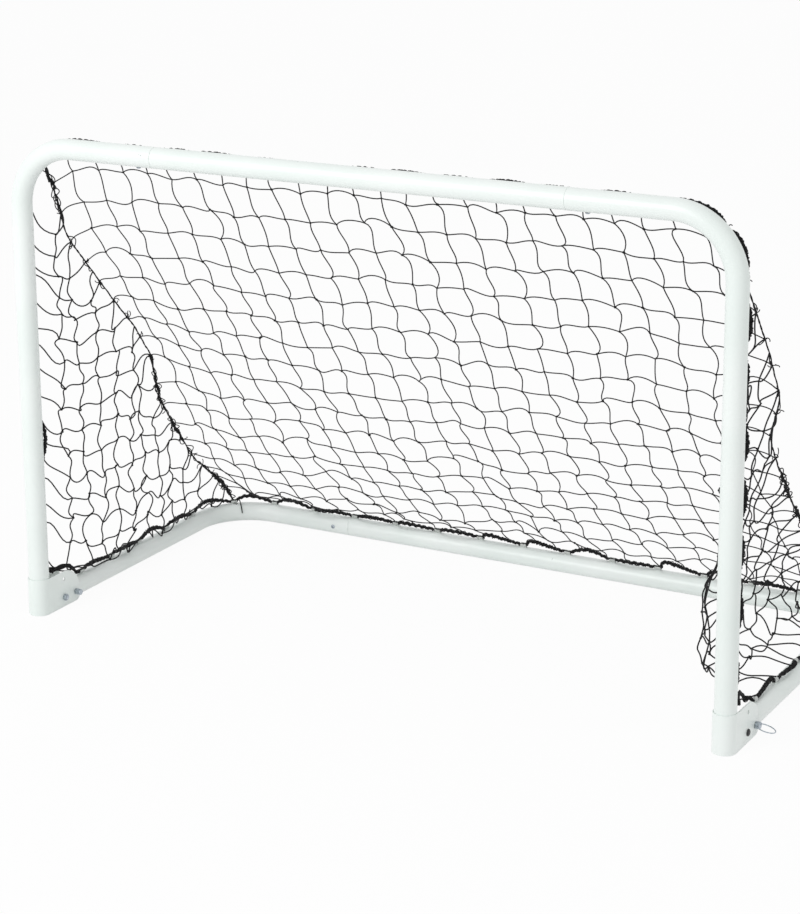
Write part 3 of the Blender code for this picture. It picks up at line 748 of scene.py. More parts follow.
@dataclass(frozen=True)
class ZincPlate:
    """Bright zinc on steel: a bluish metal with a fine mottle."""

    name: str = "zinc_plate_finish"
    dark: Colour = (0.27, 0.31, 0.35)
    light: Colour = (0.58, 0.63, 0.68)
    mottle: float = 420.0
    gloss: float = 900.0
    rough: tuple[float, float] = (0.2, 0.42)
    grain: float = 1500.0

    def build(self) -> bpy.types.Material:
        """Build the finish.

        Returns:
            The material.
        """
        sheet = NodeSheet(bpy.data.materials.new(self.name))
        colour = sheet.ramp(sheet.noise(self.mottle, 3.0), (0.3, self.dark), (0.7, self.light))
        sheet.fill(
            sheet.shader,
            Base_Color=colour,
            Roughness=sheet.between(sheet.noise(self.gloss), *self.rough),
            Normal=sheet.bump(sheet.noise(self.grain), 0.15, 0.0001),
            Metallic=1.0,
        )
        return sheet.owner


@dataclass(frozen=True)
class Moulded:
    """Moulded plastic with a fine grain; seep lets light through thin walls."""

    name: str
    colour: Colour
    pale: Colour
    roughness: float = 0.4
    seep: float = 0.0
    mottle: float = 160.0
    gloss: float = 700.0
    grain: float = 1800.0

    def build(self) -> bpy.types.Material:
        """Build the finish.

        Returns:
            The material.
        """
        sheet = NodeSheet(bpy.data.materials.new(self.name))
        low, high = self.roughness - 0.06, self.roughness + 0.08
        sheet.fill(
            sheet.shader,
            Base_Color=sheet.ramp(sheet.noise(self.mottle), (0.3, self.colour), (0.7, self.pale)),
            Roughness=sheet.between(sheet.noise(self.gloss), low, high),
            Normal=sheet.bump(sheet.noise(self.grain), 0.2, 0.0001),
            Transmission_Weight=self.seep,
        )
        return sheet.owner


@dataclass(frozen=True)
class Fibre:
    """Black synthetic fibre: yarns slanting round the cord, with fuzz and dusty highs."""

    name: str
    dark: Colour = (0.003, 0.003, 0.0035)
    worn: Colour = (0.013, 0.013, 0.0145)
    yarns: float = 5.0
    slant: float = 0.6
    dust: float = 260.0
    fuzz: float = 2500.0

    def build(self) -> bpy.types.Material:
        """Build the finish.

        Returns:
            The material.
        """
        sheet = NodeSheet(bpy.data.materials.new(self.name))
        where = sheet.place("UV", (self.yarns, self.yarns * self.slant, 1.0))
        wave = sheet.node("ShaderNodeTexWave", Vector=where, Scale=1.0, Distortion=1.5, Detail=1.0)
        wave.bands_direction = "DIAGONAL"
        yarn = sheet.bump(wave.outputs["Fac"], 0.5, 0.0003)
        colour = sheet.ramp(sheet.noise(self.dust, 3.0), (0.35, self.dark), (0.75, self.worn))
        sheet.fill(
            sheet.shader,
            Base_Color=colour,
            Normal=sheet.bump(sheet.noise(self.fuzz), 0.3, 0.0001, Normal=yarn),
            Roughness=0.75,
            Sheen_Weight=0.05,
            Sheen_Roughness=0.5,
            Specular_IOR_Level=0.25,
        )
        return sheet.owner


class Finishes:
    """The goal's materials, one of each."""

    def __init__(self) -> None:
        """Build them all."""
        self.paint = PowderCoat().build()
        self.zinc = ZincPlate().build()
        self.cap = Moulded("black_cap_plastic", (0.008, 0.008, 0.009), (0.018, 0.018, 0.02)).build()
        self.nylon = Moulded("white_plug_nylon", (0.72, 0.73, 0.70), (0.82, 0.83, 0.80)).build()
        clip_tones = (0.70, 0.74, 0.71), (0.84, 0.87, 0.85)
        self.clip = Moulded("clear_clip_nylon", *clip_tones, roughness=0.3, seep=0.35).build()
        self.cord = Fibre("black_rope_fibre").build()
        self.twine = Fibre("black_twine_fibre", yarns=3.0).build()


def add_object(name: str, data: bpy.types.ID) -> bpy.types.Object:
    """Put a thing into the scene.

    Args:
        name: Its name.
        data: Its mesh, lamp or camera.

    Returns:
        The object.
    """
    made = bpy.data.objects.new(name, data)
    bpy.context.scene.collection.objects.link(made)
    return made


def add_piece(
    name: str,
    surface: Surface,
    material: bpy.types.Material,
    slot: Slot,
    body: Body | None = None,
    replaces: str | None = None,
    sharp_deg: float = 35.0,
) -> bpy.types.Object:
    """Put a surface into a mesh object at the origin and say what it is to the frame.

    Args:
        name: The piece's name.
        surface: Its points and polygons.
        material: Its finish.
        slot: The record's slot that the finish stands for; not used.
        body: The body that it rides on, or None for a piece that is attached later or not at all.
        replaces: The CAD node that it stands for.
        sharp_deg: Edges that bend more than this are shaded sharp.

    Returns:
        The object.
    """
    mesh = surface.mesh(name)
    layer = mesh.uv_layers.new(name="UVMap")
    layer.data.foreach_set("uv", np.concatenate([u.reshape(-1) for u in surface.uvs]))
    mesh.shade_smooth()
    mesh.set_sharp_from_angle(angle=math.radians(sharp_deg))
    mesh.materials.append(material)
    made = add_object(name, mesh)
    if body is not None:
        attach(made, body.value)
    if replaces is not None:
        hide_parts(replaces)
    LOG.info("%s: %d polygons", name, len(mesh.polygons))
    return made


def bored(
    piece: bpy.types.Object, centre: Array, axis: Array, radius: float, long: float, sides: int = 32
) -> None:
    """Drill a round hole through a piece.

    Args:
        piece: The object to drill.
        centre: Middle of the hole.
        axis: Its axis.
        radius: Its radius.
        long: Length of the drill.
        sides: Steps round the hole.
    """
    drill = lathe(np.array([[radius, -long / 2], [radius, long / 2]]), sides)
    cutter = add_object("bore", drill.moved(axis_place(centre, axis)).mesh("bore"))
    step = piece.modifiers.new("bore", "BOOLEAN")
    step.operation, step.solver, step.object = "DIFFERENCE", "EXACT", cutter
    bpy.context.view_layer.update()
    graph = bpy.context.evaluated_depsgraph_get()
    drilled = bpy.data.meshes.new_from_object(piece.evaluated_get(graph))
    piece.modifiers.clear()
    old, piece.data = piece.data, drilled
    drilled.name = old.name
    bpy.data.meshes.remove(old)
    bpy.data.objects.remove(cutter, do_unlink=True)
    drilled.set_sharp_from_angle(angle=math.radians(35.0))


@dataclass
class TubeFrame:
    """The six tubes of both hoops, round-walled, with lips at the joints.

    Attributes:
        finishes: The goal's materials.
        sides: Steps round a tube.
        bend_steps: Steps round a bend.
        lip: Radius of a tube end's rounded edge.
        neck_length: How far a bar's reduced neck goes into its corner.
        neck_drop: How much smaller the neck is.
        neck_tip_r: Radius that the neck's end closes to.
        rows: Distances of single rows from a tube's start, before its lip, inside the lip
            and before a bar's shoulder.
        nose_r: Radius of a base tube's rounded end about the fold axis.
    """

    finishes: Finishes
    sides: int = 56
    bend_steps: int = 28
    lip: float = 0.0007
    neck_length: float = 0.050
    neck_drop: float = 0.0020
    neck_tip_r: float = 0.012
    rows: tuple[float, float, float, float] = (0.03, 0.003, 0.02, 0.004)
    nose_r: float = 0.0187

    def bent_tube(self, hoop: Hoop, start: float, seam_x: float, nose: bool) -> Surface:
        """A side tube with its bend, open at the joint with the straight bar.

        The rows of points run out along the wall, round the lip and back inside.

        Args:
            hoop: The hoop that it follows.
            start: Distance of its lower or front end from the left foot.
            seam_x: Where its open end lies, from the goal's middle.
            nose: Whether the start is rounded about the fold axis.

        Returns:
            The left tube.
        """
        end = hoop.half_length - seam_x - SIZES.seam_gap / 2
        bend = np.linspace(hoop.run, hoop.bend_end, self.bend_steps + 1)
        after_start, before_lip, inside, _ = self.rows
        straight = np.array([start, start + after_start])
        wall = np.concatenate([straight, bend, [end - before_lip]])
        bore = SIZES.tube_r - SIZES.tube_wall
        edge = np.array([[-self.lip, SIZES.tube_r], [0.0, SIZES.tube_r], [0.0, bore]])
        lip = soften(edge, self.lip, 4)
        back = np.concatenate([[end - inside], bend[::-2], straight[::-1]])
        stations = np.concatenate([wall, end + lip[:, 0], back])
        outer, inner = np.full(len(wall), SIZES.tube_r), np.full(len(back), bore)
        radii = np.concatenate([outer, lip[:, 1], inner])
        if nose:
            height = np.outer(radii, np.sin(full_turn(self.sides))).clip(-self.nose_r, self.nose_r)
            curve = SIZES.pivot_back - np.sqrt(self.nose_r**2 - height**2)
            stations = np.repeat(stations[:, None], self.sides, 1)
            stations[0], stations[-1] = curve[0], curve[-1]
        return grid_surface(hoop.tube(stations, radii, self.sides), wrap_rows=True)

    def straight_bar(self, hoop: Hoop, seam_x: float) -> Surface:
        """The straight bar between two corners, with a shoulder and a neck at each end.

        Args:
            hoop: The hoop that it follows.
            seam_x: Where its shoulders lie, from the goal's middle.

        Returns:
            The bar.
        """
        seam = seam_x - SIZES.seam_gap / 2
        tip, neck = seam + self.neck_length, SIZES.tube_r - self.neck_drop
        wall = seam - self.rows[-1]
        steps = np.array([[tip, neck], [seam, neck], [seam, SIZES.tube_r], [wall, SIZES.tube_r]])
        half = np.vstack([[tip, self.neck_tip_r], soften(steps, self.lip, 4)])
        stations = np.concatenate([-half[:, 0], half[::-1, 0]]) + hoop.half_length
        radii = np.concatenate([half[:, 1], half[::-1, 1]])
        return grid_surface(hoop.tube(stations, radii, self.sides))

    def build(self) -> None:
        """Make the posts, the crossbar, the base tubes and the rear bar."""
        post = self.bent_tube(FRONT_HOOP, SIZES.foot_gap, SIZES.crossbar_seam_x, nose=False)
        base_tube = self.bent_tube(BASE_HOOP, SIZES.pivot_back, SIZES.rear_seam_x, nose=True)
        made = []
        for side in Side:
            mirror = Matrix.Diagonal((*side.mirror, 1.0))
            made.append((f"{side.label}_post", post.moved(mirror).outward(), Body.FRONT))
            made.append((f"{side.label}_base_tube", base_tube.moved(mirror).outward(), Body.BASE))
        crossbar = self.straight_bar(FRONT_HOOP, SIZES.crossbar_seam_x)
        rear_bar = self.straight_bar(BASE_HOOP, SIZES.rear_seam_x)
        made += [("crossbar", crossbar, Body.FRONT), ("rear_bar", rear_bar, Body.BASE)]
        for node, surface, body in made:
            add_piece(f"{node}_steel", surface, self.finishes.paint, Slot.PAINT, body, node)


@dataclass
class FootBracket:
    """Sheet steel wrapped round a post's foot, with two cheeks for the base tube.

    Attributes:
        finishes: The goal's materials.
        cheek_r: Radius of a cheek's rounded back about the fold axis.
        corner_r: Radius of a cheek's lower rear corner.
        edge: How far the sheet's edges are rounded.
        hole_r: Radius of the hole that stores the lock pin when folded.
    """

    finishes: Finishes
    cheek_r: float = 0.051
    corner_r: float = 0.014
    edge: float = 0.0006
    hole_r: float = 0.0036

    def edges_at(self, behind: Array) -> tuple[Array, Array]:
        """Lower and upper edge of a cheek at places behind the fold axis.

        The upper edge is level, then the cheek's arc. The lower edge is the ground, then the
        corner's arc, then the cheek's arc again.

        Args:
            behind: Distances behind the fold axis.

        Returns:
            Heights of the lower and upper edge.
        """
        middle = SIZES.tube_r
        reach = self.cheek_r - self.corner_r
        corner_y = math.sqrt(reach**2 - (self.corner_r - middle) ** 2)
        meet = corner_y / reach * self.cheek_r
        arc = np.sqrt(np.maximum(self.cheek_r**2 - np.maximum(behind, 0.0) ** 2, 0.0))
        from_corner = np.clip(behind - corner_y, 0.0, self.corner_r)
        corner = self.corner_r - np.sqrt(self.corner_r**2 - from_corner**2)
        return np.where(behind < meet, corner, middle - arc), middle + arc

    def surface(self) -> Surface:
        """The bent sheet, about the middle of its post's foot.

        A row of points is the sheet's section, a rounded rectangle. The rows run forward
        along one cheek, round the post and back along the other.

        Returns:
            The sheet.
        """
        arc = self.cheek_r * np.sin(np.radians(np.linspace(89.4, 0.0, 34)))
        cheek = np.concatenate([arc, np.linspace(0, -SIZES.pivot_back, 5)[1:]])
        around = np.radians(np.linspace(0.0, 180.0, 41))[1:-1]
        behind = np.concatenate([cheek, np.full(len(around), -SIZES.pivot_back), cheek[::-1]])
        heading = np.concatenate([np.zeros(len(cheek)), around, np.full(len(cheek), np.pi)])
        lower, upper = (edge[:, None] for edge in self.edges_at(behind))
        half = 0.01
        inner, outer = SIZES.band_inner_r, SIZES.band_outer_r
        box = np.array([[inner, -half], [outer, -half], [outer, half], [inner, half]])
        reach, level = soften(box, self.edge, 3, closed=True).T
        from_edge = half - np.abs(level)
        z = np.where(level > 0, upper - from_edge, lower + from_edge)
        x = reach * np.cos(heading)[:, None]
        y = (behind + SIZES.pivot_back)[:, None] - reach * np.sin(heading)[:, None]
        return grid_surface(np.stack([x, y, z], -1))

    def build(self) -> None:
        """Make both brackets."""
        shape = self.surface()
        for side in Side:
            x = side.value * SIZES.half_width
            placed = shape.moved(Matrix.Translation((x, SIZES.post_y, 0.0)))
            node = f"{side.label}_foot_bracket"
            piece = add_piece(f"{node}_sheet", placed, self.finishes.paint, Slot.PAINT, None, node)
            hole = np.array([x, SIZES.pivot_y, SIZES.tube_r + SIZES.lock_reach])
            bored(piece, hole, RIGHT, self.hole_r, long=0.06)
            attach(piece, Body.FRONT.value)


@dataclass
class PivotHardware:
    """Bolt, nut and cap of each pivot, and the screws of the tube joints.

    Attributes:
        finishes: The goal's materials.
        sides: Steps round a bolt or a cap.
        bolt_r: Radius of a bolt.
        bolt_head: Radius and height of the head under the cap.
        bolt_end_out: How far a bolt's end stands out of its nut.
        nut_flats: Size of a nut over its flats.
        nut_h: Height of a nut.
        cap_r: Radius of a cap.
        cap_h: Height of a cap.
        screw_head_r: Radius of a screw's head.
        screw_head_h: Height of a screw's head.
        recess: Depth, half width and reach of the cross in a screw's head.
    """

    finishes: Finishes
    sides: int = 40
    bolt_r: float = 0.004
    bolt_head: tuple[float, float] = (0.0046, 0.002)
    bolt_end_out: float = 0.0012
    nut_flats: float = 0.0115
    nut_h: float = 0.0058
    cap_r: float = 0.0063
    cap_h: float = 0.0036
    screw_head_r: float = 0.0043
    screw_head_h: float = 0.0026
    recess: tuple[float, float, float] = (0.0013, 0.0006, 0.0024)

    def nut(self) -> Surface:
        """A hexagon nut with its corners turned off, about its bolt.

        Its radius is the lesser of the hexagon's, F / (2 cos(a - nearest flat's middle)), and
        a cone's that leaves both end faces round.

        Returns:
            The nut.
        """
        sides, sixth = 96, np.pi / 3
        hexagon = self.nut_flats / 2 / np.cos((full_turn(sides) + sixth / 2) % sixth - sixth / 2)
        low = np.array([0.0, 0.0002, 0.0006, 0.0012])
        rows = np.concatenate([low, self.nut_h - low[::-1]])
        cone = self.nut_flats / 2 - 0.0002 + np.minimum(rows, self.nut_h - rows) * 1.6
        bore = np.full((2, sides), self.bolt_r + SIZES.fit_gap)
        radii = np.vstack([np.minimum(hexagon, cone[:, None]), bore])
        heights = np.append(rows, [self.nut_h, 0.0])[:, None]
        return grid_surface(turned(radii, heights, sides), wrap_rows=True)

    def cap(self) -> Surface:
        """A low domed cap with a round rim.

        A point of the dome is (R sin(t)^0.8, H cos(t)^0.7), with t over a quarter turn.

        Returns:
            The cap.
        """
        t = np.linspace(0.04, 1.0, 14) * np.pi / 2
        dome = np.stack([self.cap_r * np.sin(t) ** 0.8, self.cap_h * np.cos(t) ** 0.7], -1)
        r, room = self.cap_r, 0.0022
        rim = [[r, 0.0], [r - 0.001, 0.0], [r - 0.0012, room], [0.0004, room]]
        return lathe(np.vstack([dome, rim]), self.sides)

    def bolt(self, shank: float) -> Surface:
        """A bolt whose head hides in the cap.

        Args:
            shank: Its length below the head.

        Returns:
            The bolt.
        """
        head_r, head_h = self.bolt_head
        head = [[0.0005, head_h], [head_r, head_h], [head_r, 0.0]]
        stem = [[self.bolt_r, 0.0], [self.bolt_r, -shank], [0.0005, -shank]]
        return lathe(soften(np.array(head + stem), 0.0006), self.sides)

    def screw(self) -> Surface:
        """A pan-head screw with a cross recess.

        The recess is h less d S(w - the smaller of |x| and |y|) S(R - r), where S rises
        smoothly from 0 to 1.

        Returns:
            The screw.
        """
        sides, a = 64, full_turn(64)
        share = np.linspace(0.02, 1.0, 18)[:, None]
        r = self.screw_head_r * share
        depth, half_w, reach = self.recess
        narrow = np.minimum(np.abs(r * np.cos(a)), np.abs(r * np.sin(a)))
        cross = smooth_step((half_w - narrow) / 0.0004 + 0.5)
        cross = depth * cross * smooth_step((reach - r) / 0.0006 + 0.5)
        dome = self.screw_head_h * (1 - share**3.2) ** 0.55
        under, thread = self.screw_head_r * 0.98, 0.0021
        below = np.array([[under, -0.0001], [thread, -0.0001], [thread, -0.0075], [0.0005, -0.009]])
        heights = np.vstack([dome - cross, np.repeat(below[:, 1:], sides, 1)])
        return grid_surface(turned(np.vstack([r, below[:, :1]]), heights, sides))

    def build(self) -> None:
        """Make the pivots and the screws."""
        zinc, plastic = (self.finishes.zinc, Slot.ZINC), (self.finishes.cap, Slot.PLASTIC)
        nut_back = SIZES.inner_seat - self.nut_h
        bolt = self.bolt(SIZES.seat - (nut_back - self.bolt_end_out))
        for side in Side:
            out = RIGHT * side.value
            spot = np.array([0.0, SIZES.pivot_y, SIZES.tube_r])
            outer = axis_place(spot + SIZES.seat * out, out)
            inner = axis_place(spot + nut_back * out, out, UP)
            rows = [
                ("pivot_bolt", "zinc", bolt, outer, zinc, Body.FRONT),
                ("pivot_nut", "zinc", self.nut(), inner, zinc, Body.FRONT),
                ("pivot_cap", "dome", self.cap(), outer, plastic, Body.FRONT),
            ]
            for bar, hoop, seam_x, axis, body in (
                ("crossbar", FRONT_HOOP, SIZES.crossbar_seam_x, -UP, Body.FRONT),
                ("rear_bar", BASE_HOOP, SIZES.rear_seam_x, -REAR, Body.BASE),
            ):
                middle = hoop.centre(np.array(hoop.half_length))
                away = out * (seam_x + SIZES.screw_from_seam)
                place = axis_place(middle + away + axis * (SIZES.tube_r + SIZES.fit_gap), axis)
                rows.append((f"{bar}_screw", "head", self.screw(), place, zinc, body))
            for word, kind, surface, place, finish, body in rows:
                node = f"{side.label}_{word}"
                add_piece(f"{node}_{kind}", surface.moved(place), *finish, body, node)


@dataclass
class LockPins:
    """Lock pins with drilled heads, their sockets inside the goal, and their pull rings.

    Attributes:
        finishes: The goal's materials.
        sides: Steps round a pin or a socket.
        pin_r: Radius of a pin.
        head_r: Radius of its head.
        head_h: Height of its head.
        edge: How far edges are rounded.
        socket_r: Outer radius of a socket.
        socket_h: Height of a socket.
        socket_floor: Thickness of a socket's floor.
        pin_in_socket: How far a pin goes into its socket.
        hole_play: How much wider than the wire or the pin its hole is.
        wire_r: Radius of a ring's wire.
        eye_from_end: Distance of the ring's hole from the head's outer face.
        ring_length: Length of a ring's centre line.
        ring_width: Width of a ring's centre line.
        ring_straight: Length of the straight side in the eye.
        ring_corner: How far the corners beside it are rounded.
        droop_deg: How far a ring hangs below level.
    """

    finishes: Finishes
    sides: int = 48
    pin_r: float = 0.00325
    head_r: float = 0.0064
    head_h: float = 0.0085
    edge: float = 0.0009
    socket_r: float = 0.00575
    socket_h: float = 0.012
    socket_floor: float = 0.0025
    pin_in_socket: float = 0.0075
    hole_play: float = 0.0003
    wire_r: float = 0.001
    eye_from_end: float = 0.0032
    ring_length: float = 0.030
    ring_width: float = 0.025
    ring_straight: float = 0.0168
    ring_corner: float = 0.0016
    droop_deg: float = 13.0

    def rounded(self, radii: tuple[float, float], heights: tuple[float, float, float]) -> Surface:
        """A turned solid of two steps with rounded edges.

        Args:
            radii: Radius between the first two heights, and between the last two.
            heights: Where it starts, steps and ends.

        Returns:
            The solid about Z.
        """
        tip = 0.0006
        (first, last), (start, step, end) = radii, heights
        upper = [[tip, start], [first, start], [first, step]]
        lower = [[last, step], [last, end], [tip, end]]
        return lathe(soften(np.array(upper + lower), self.edge, 4), self.sides)

    def eye(self, side: Side) -> Array:
        """Middle of the cross hole in a pin's head."""
        x = SIZES.seat + self.head_h - self.eye_from_end
        return np.array([side.value * x, SIZES.lock_y, SIZES.tube_r])

    def ring(self, side: Side) -> Surface:
        """The pull ring: an ellipse cut by a chord, which is the straight side in the eye.

        Beyond the chord its points are (m + L cos t, W sin t) in the ring's own plane, and
        the corners beside the straight side are rounded.

        Args:
            side: Which ring.

        Returns:
            The ring.
        """
        half_w, half_s = self.ring_width / 2, self.ring_straight / 2
        share = math.sqrt(1 - (half_s / half_w) ** 2)
        half_long = self.ring_length / (1 + share)
        opened = math.pi - math.asin(half_s / half_w)
        t = opened * (1 - 2 * np.linspace(0.0, 1.0, 25))
        loop = np.stack([share * half_long + half_long * np.cos(t), half_w * np.sin(t)], -1)
        flat = soften(loop, self.ring_corner, 3, closed=True)
        droop = math.radians(self.droop_deg)
        outward = np.array([side.value * math.cos(droop), 0.0, -math.sin(droop)])
        line = self.eye(side) + flat[:, :1] * outward + flat[:, 1:] * REAR
        _, keep = np.unique(np.round(line, 6), axis=0, return_index=True)
        return closed_strand(line[np.sort(keep)], np.cross(outward, REAR), self.wire_r, 14)

    def build(self) -> None:
        """Make both pins, sockets and rings."""
        finish = self.finishes.zinc, Slot.ZINC
        shank = SIZES.seat - SIZES.inner_seat + self.pin_in_socket
        pin = self.rounded((self.head_r, self.pin_r), (self.head_h, 0.0, -shank))
        bore = self.pin_r + self.hole_play
        socket = self.rounded((bore, self.socket_r), (self.socket_floor, self.socket_h, 0.0))
        for side in Side:
            out = RIGHT * side.value
            spot = np.array([0.0, SIZES.lock_y, SIZES.tube_r])
            seated = pin.moved(axis_place(spot + SIZES.seat * out, out))
            node = f"{side.label}_lock_pin"
            piece = add_piece(f"{node}_zinc", seated, *finish, None, node)
            hole_r = self.wire_r + self.hole_play
            bored(piece, self.eye(side), REAR, hole_r, long=0.03, sides=20)
            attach(piece, Body[f"{side.name}_PIN"].value)
            seated = socket.moved(axis_place(spot + (SIZES.inner_seat - self.socket_h) * out, out))
            node = f"{side.label}_pin_socket"
            add_piece(f"{node}_zinc", seated, *finish, Body.FRONT, node)
            node = f"{side.label}_pull_ring"
            add_piece(f"{node}_wire", self.ring(side), *finish, Body[f"{side.name}_RING"], node)


@dataclass
class Lacing:
    """One hoop's lacing rope and the clips that hold it to the tube.

    Attributes:
        hoop: The hoop that it follows.
        clips: Distances of the clips from the left foot.
        start: Distance of the rope's ends from the feet.
        tilt_deg: How far the clips lean outwards on the cross piece.
        seed: Seed of the rope's irregular waves.
        cord_r: Radius of the rope.
        clip_play: Room between the rope and a clip.
        clip_wall: Thickness of a clip's hook.
        clip_length: Length of a clip along the tube.
        clip_mouth_deg: Where a clip's mouth ends, past upright.
        clip_foot: Width of a clip's foot.
        clip_edge: How far a clip's ends are bevelled.
        swell: How much thicker the rope is between clips.
        twine_r: Radius of the border twine.
        twine_off: How far its middle lies off the rope, in a clip.
        loose: How much further it stands off between the clips.
        coil: Length of one turn of the border twine.
        square: Power that squares off or sharpens the waves.
        wave: Least and greatest height of a wave.
        sway_deg: Least and greatest turn of a wave round the tube, inwards.
        skew: Least and greatest power that moves a wave along its span.
        cross_share: Least and greatest share of the waves that the cross piece has.
        right_share: Share of the sway that the right side has.
        pressed: Share of the rope's depth that is left when the goal is folded; not used.
        stations: Points along the rope.
        tugs: This goal's own waves: the span, its height and its turn in radians.
        late: Spans whose wave has a skew of its own, with that skew.
    """

    hoop: Hoop
    clips: Array
    start: float
    tilt_deg: float
    seed: int
    cord_r: float = 0.0025
    clip_play: float = 0.0006
    clip_wall: float = 0.0012
    clip_length: float = 0.0125
    clip_mouth_deg: float = 60.0
    clip_foot: float = 0.0052
    clip_edge: float = 0.0006
    swell: float = 0.0006
    twine_r: float = 0.0009
    twine_off: float = 0.0004
    loose: float = 0.0008
    coil: float = 0.013
    square: float = 1.2
    wave: tuple[float, float] = (0.001, 0.008)
    sway_deg: tuple[float, float] = (-12.0, 30.0)
    skew: tuple[float, float] = (0.6, 1.6)
    cross_share: tuple[float, float] = (0.8, 1.5)
    right_share: float = 1.0
    pressed: float = 0.2
    stations: int = 2200
    tugs: tuple[tuple[int, float, float], ...] = ()
    late: tuple[tuple[int, float], ...] = ()

    def __post_init__(self) -> None:
        """Draw each wave's height, sway and skew."""
        rng = np.random.default_rng(self.seed)
        count = len(self.clips) + 1
        bend = self.hoop.bend_end
        middles = np.concatenate([[0.0], (self.clips[1:] + self.clips[:-1]) / 2, [0.0]])
        cross = (middles > bend) & (middles < 2 * self.hoop.half_length - bend)
        share = np.where(cross, rng.uniform(*self.cross_share, count), 1.0)
        self.heights = rng.uniform(*self.wave, count) * share
        self.sways = np.radians(rng.uniform(*self.sway_deg, count)) * share
        self.skews = rng.uniform(*self.skew, count)
        self.sways[(middles > self.hoop.half_length) & ~cross] *= self.right_share
        for span, height, sway in self.tugs:
            self.heights[span], self.sways[span] = height, sway
        for span, skew in self.late:
            self.skews[span] = skew

    @property
    def clip_outer_r(self) -> float:
        """Outer radius of a clip's hook."""
        return self.cord_r + self.clip_play + self.clip_wall

    @property
    def seat(self) -> float:
        """Height of the rope's middle over the tube, in a clip."""
        return SIZES.fit_gap + self.clip_outer_r

    def bump(self, s: Array) -> tuple[Array, Array]:
        """Where each place is between its clips, and how much the rope waves there.

        The wave is sin(pi t^skew)^square, with t from 0 to 1 between two clips.

        Args:
            s: Distances from the left foot.

        Returns:
            The number of each place's span, and its share of that span's wave.
        """
        s = np.asarray(s, float)
        past_end, hold = 0.05, self.clip_length / 2
        first = self.start - past_end
        ends = np.concatenate([[first], self.clips, [2 * self.hoop.half_length - first]])
        span = np.clip(np.searchsorted(ends, s) - 1, 0, len(ends) - 2)
        free = ends[span + 1] - ends[span] - 2 * hold
        t = np.clip((s - ends[span] - hold) / free, 0.0, 1.0)
        return span, np.maximum(np.sin(np.pi * t ** self.skews[span]), 0.0) ** self.square

    def rope_point(self, s: Array) -> Array:
        """Middle of the rope at distances along the hoop.

        It is centre + (tube radius + rise) (cos w back - sin w outward), where the rise and
        the turn w round the tube both grow with the wave.

        Args:
            s: Distances from the left foot.

        Returns:
            (n, 3) points.
        """
        span, bump = self.bump(s)
        outward, back = self.hoop.axes(s, self.tilt_deg)
        rise = self.seat + (self.heights[span] + self.swell) * bump
        turn = (self.sways[span] * bump)[..., None]
        around = np.cos(turn) * back - np.sin(turn) * outward
        return self.hoop.centre(s) + (SIZES.tube_r + rise)[..., None] * around

    def on_side(self, side: Side, s: Array) -> Array:
        """Middle of the rope at distances from one side's foot, mirrored to the left side."""
        there = s if side is Side.LEFT else 2 * self.hoop.half_length - s
        return self.rope_point(there) * side.mirror

    def rope_surface(self) -> Surface:
        """The laid rope, thicker between clips, and the net's border twine wound round it.

        Each of the three turns of twine is wound round the rope's middle at an angle that
        grows unevenly and at a distance that swells away from the clips.

        Returns:
            The rope with its twine.
        """
        end = 2 * self.hoop.half_length - self.start
        s = np.linspace(self.start, end, self.stations)
        path = self.rope_point(s)
        _, bump = self.bump(s)
        guide = UP if self.hoop.lies else REAR
        laid = rope(path, guide, self.cord_r + self.swell * bump[:, None])
        rng = np.random.default_rng(self.seed + 1)
        coils = []
        for j in range(3):
            drift = np.cumsum(rng.uniform(0.2, 1.8, len(s))) * (s[1] - s[0])
            turn = 2 * np.pi * (drift / self.coil + j / 3) * (1 if j % 2 else -1)
            slack = np.convolve(rng.uniform(-1.0, 1.0, len(s)), np.ones(9) / 4.0, "same") ** 2
            out = self.cord_r + self.twine_off + (self.swell + self.loose * slack) * bump
            coils.append(wound(path, turn, out, guide))
        return Surface.joined(laid, strands(np.stack(coils), guide, self.twine_r, 5))

    def clip_outline(self) -> Array:
        """A clip seen along the tube: a C-shaped hook on a foot.

        Returns:
            (n, 2) points over the tube's wall: two arcs about the rope's middle outside, with
            the foot between them, and one arc inside.
        """
        mouth = math.radians(90.0 + self.clip_mouth_deg)
        half = self.clip_foot / 2
        foot_turn = math.asin(half / self.clip_outer_r)
        low, end = 1.5 * math.pi, 2.5 * math.pi
        down = -self.seat - 0.0008
        parts = []
        for first, last, count, radius in (
            (mouth, low - foot_turn, 8, self.clip_outer_r),
            (low + foot_turn, end, 12, self.clip_outer_r),
            (end, mouth, 18, self.cord_r + self.clip_play),
        ):
            turns = np.linspace(first, last, count)
            parts.append(radius * np.stack([np.cos(turns), np.sin(turns)], -1))
        parts.insert(1, np.array([[-half, down], [half, down]]))
        return np.vstack(parts) + [0.0, self.seat]

    def clip_surface(self) -> Surface:
        """All the clips of the hoop.

        A clip is its outline at four places along the tube, drawn in at both ends.

        Returns:
            The clips.
        """
        outline = self.clip_outline()
        middle = outline.mean(0)
        inset = middle + (outline - middle) * 0.96
        half = self.clip_length / 2
        flat = half - self.clip_edge
        rows = ((inset, -half), (outline, -flat), (outline, flat), (inset, half))
        one = grid_surface(np.stack([np.column_stack([o, np.full(len(o), z)]) for o, z in rows]))
        _, back = self.hoop.axes(self.clips, self.tilt_deg)
        near = 0.9 * half
        along = unit(self.rope_point(self.clips + near) - self.rope_point(self.clips - near))
        side = unit(np.cross(back, along))
        foot = self.hoop.centre(self.clips) + SIZES.tube_r * back
        return one.copies(np.stack([side, np.cross(along, side), along], 1), foot).outward()


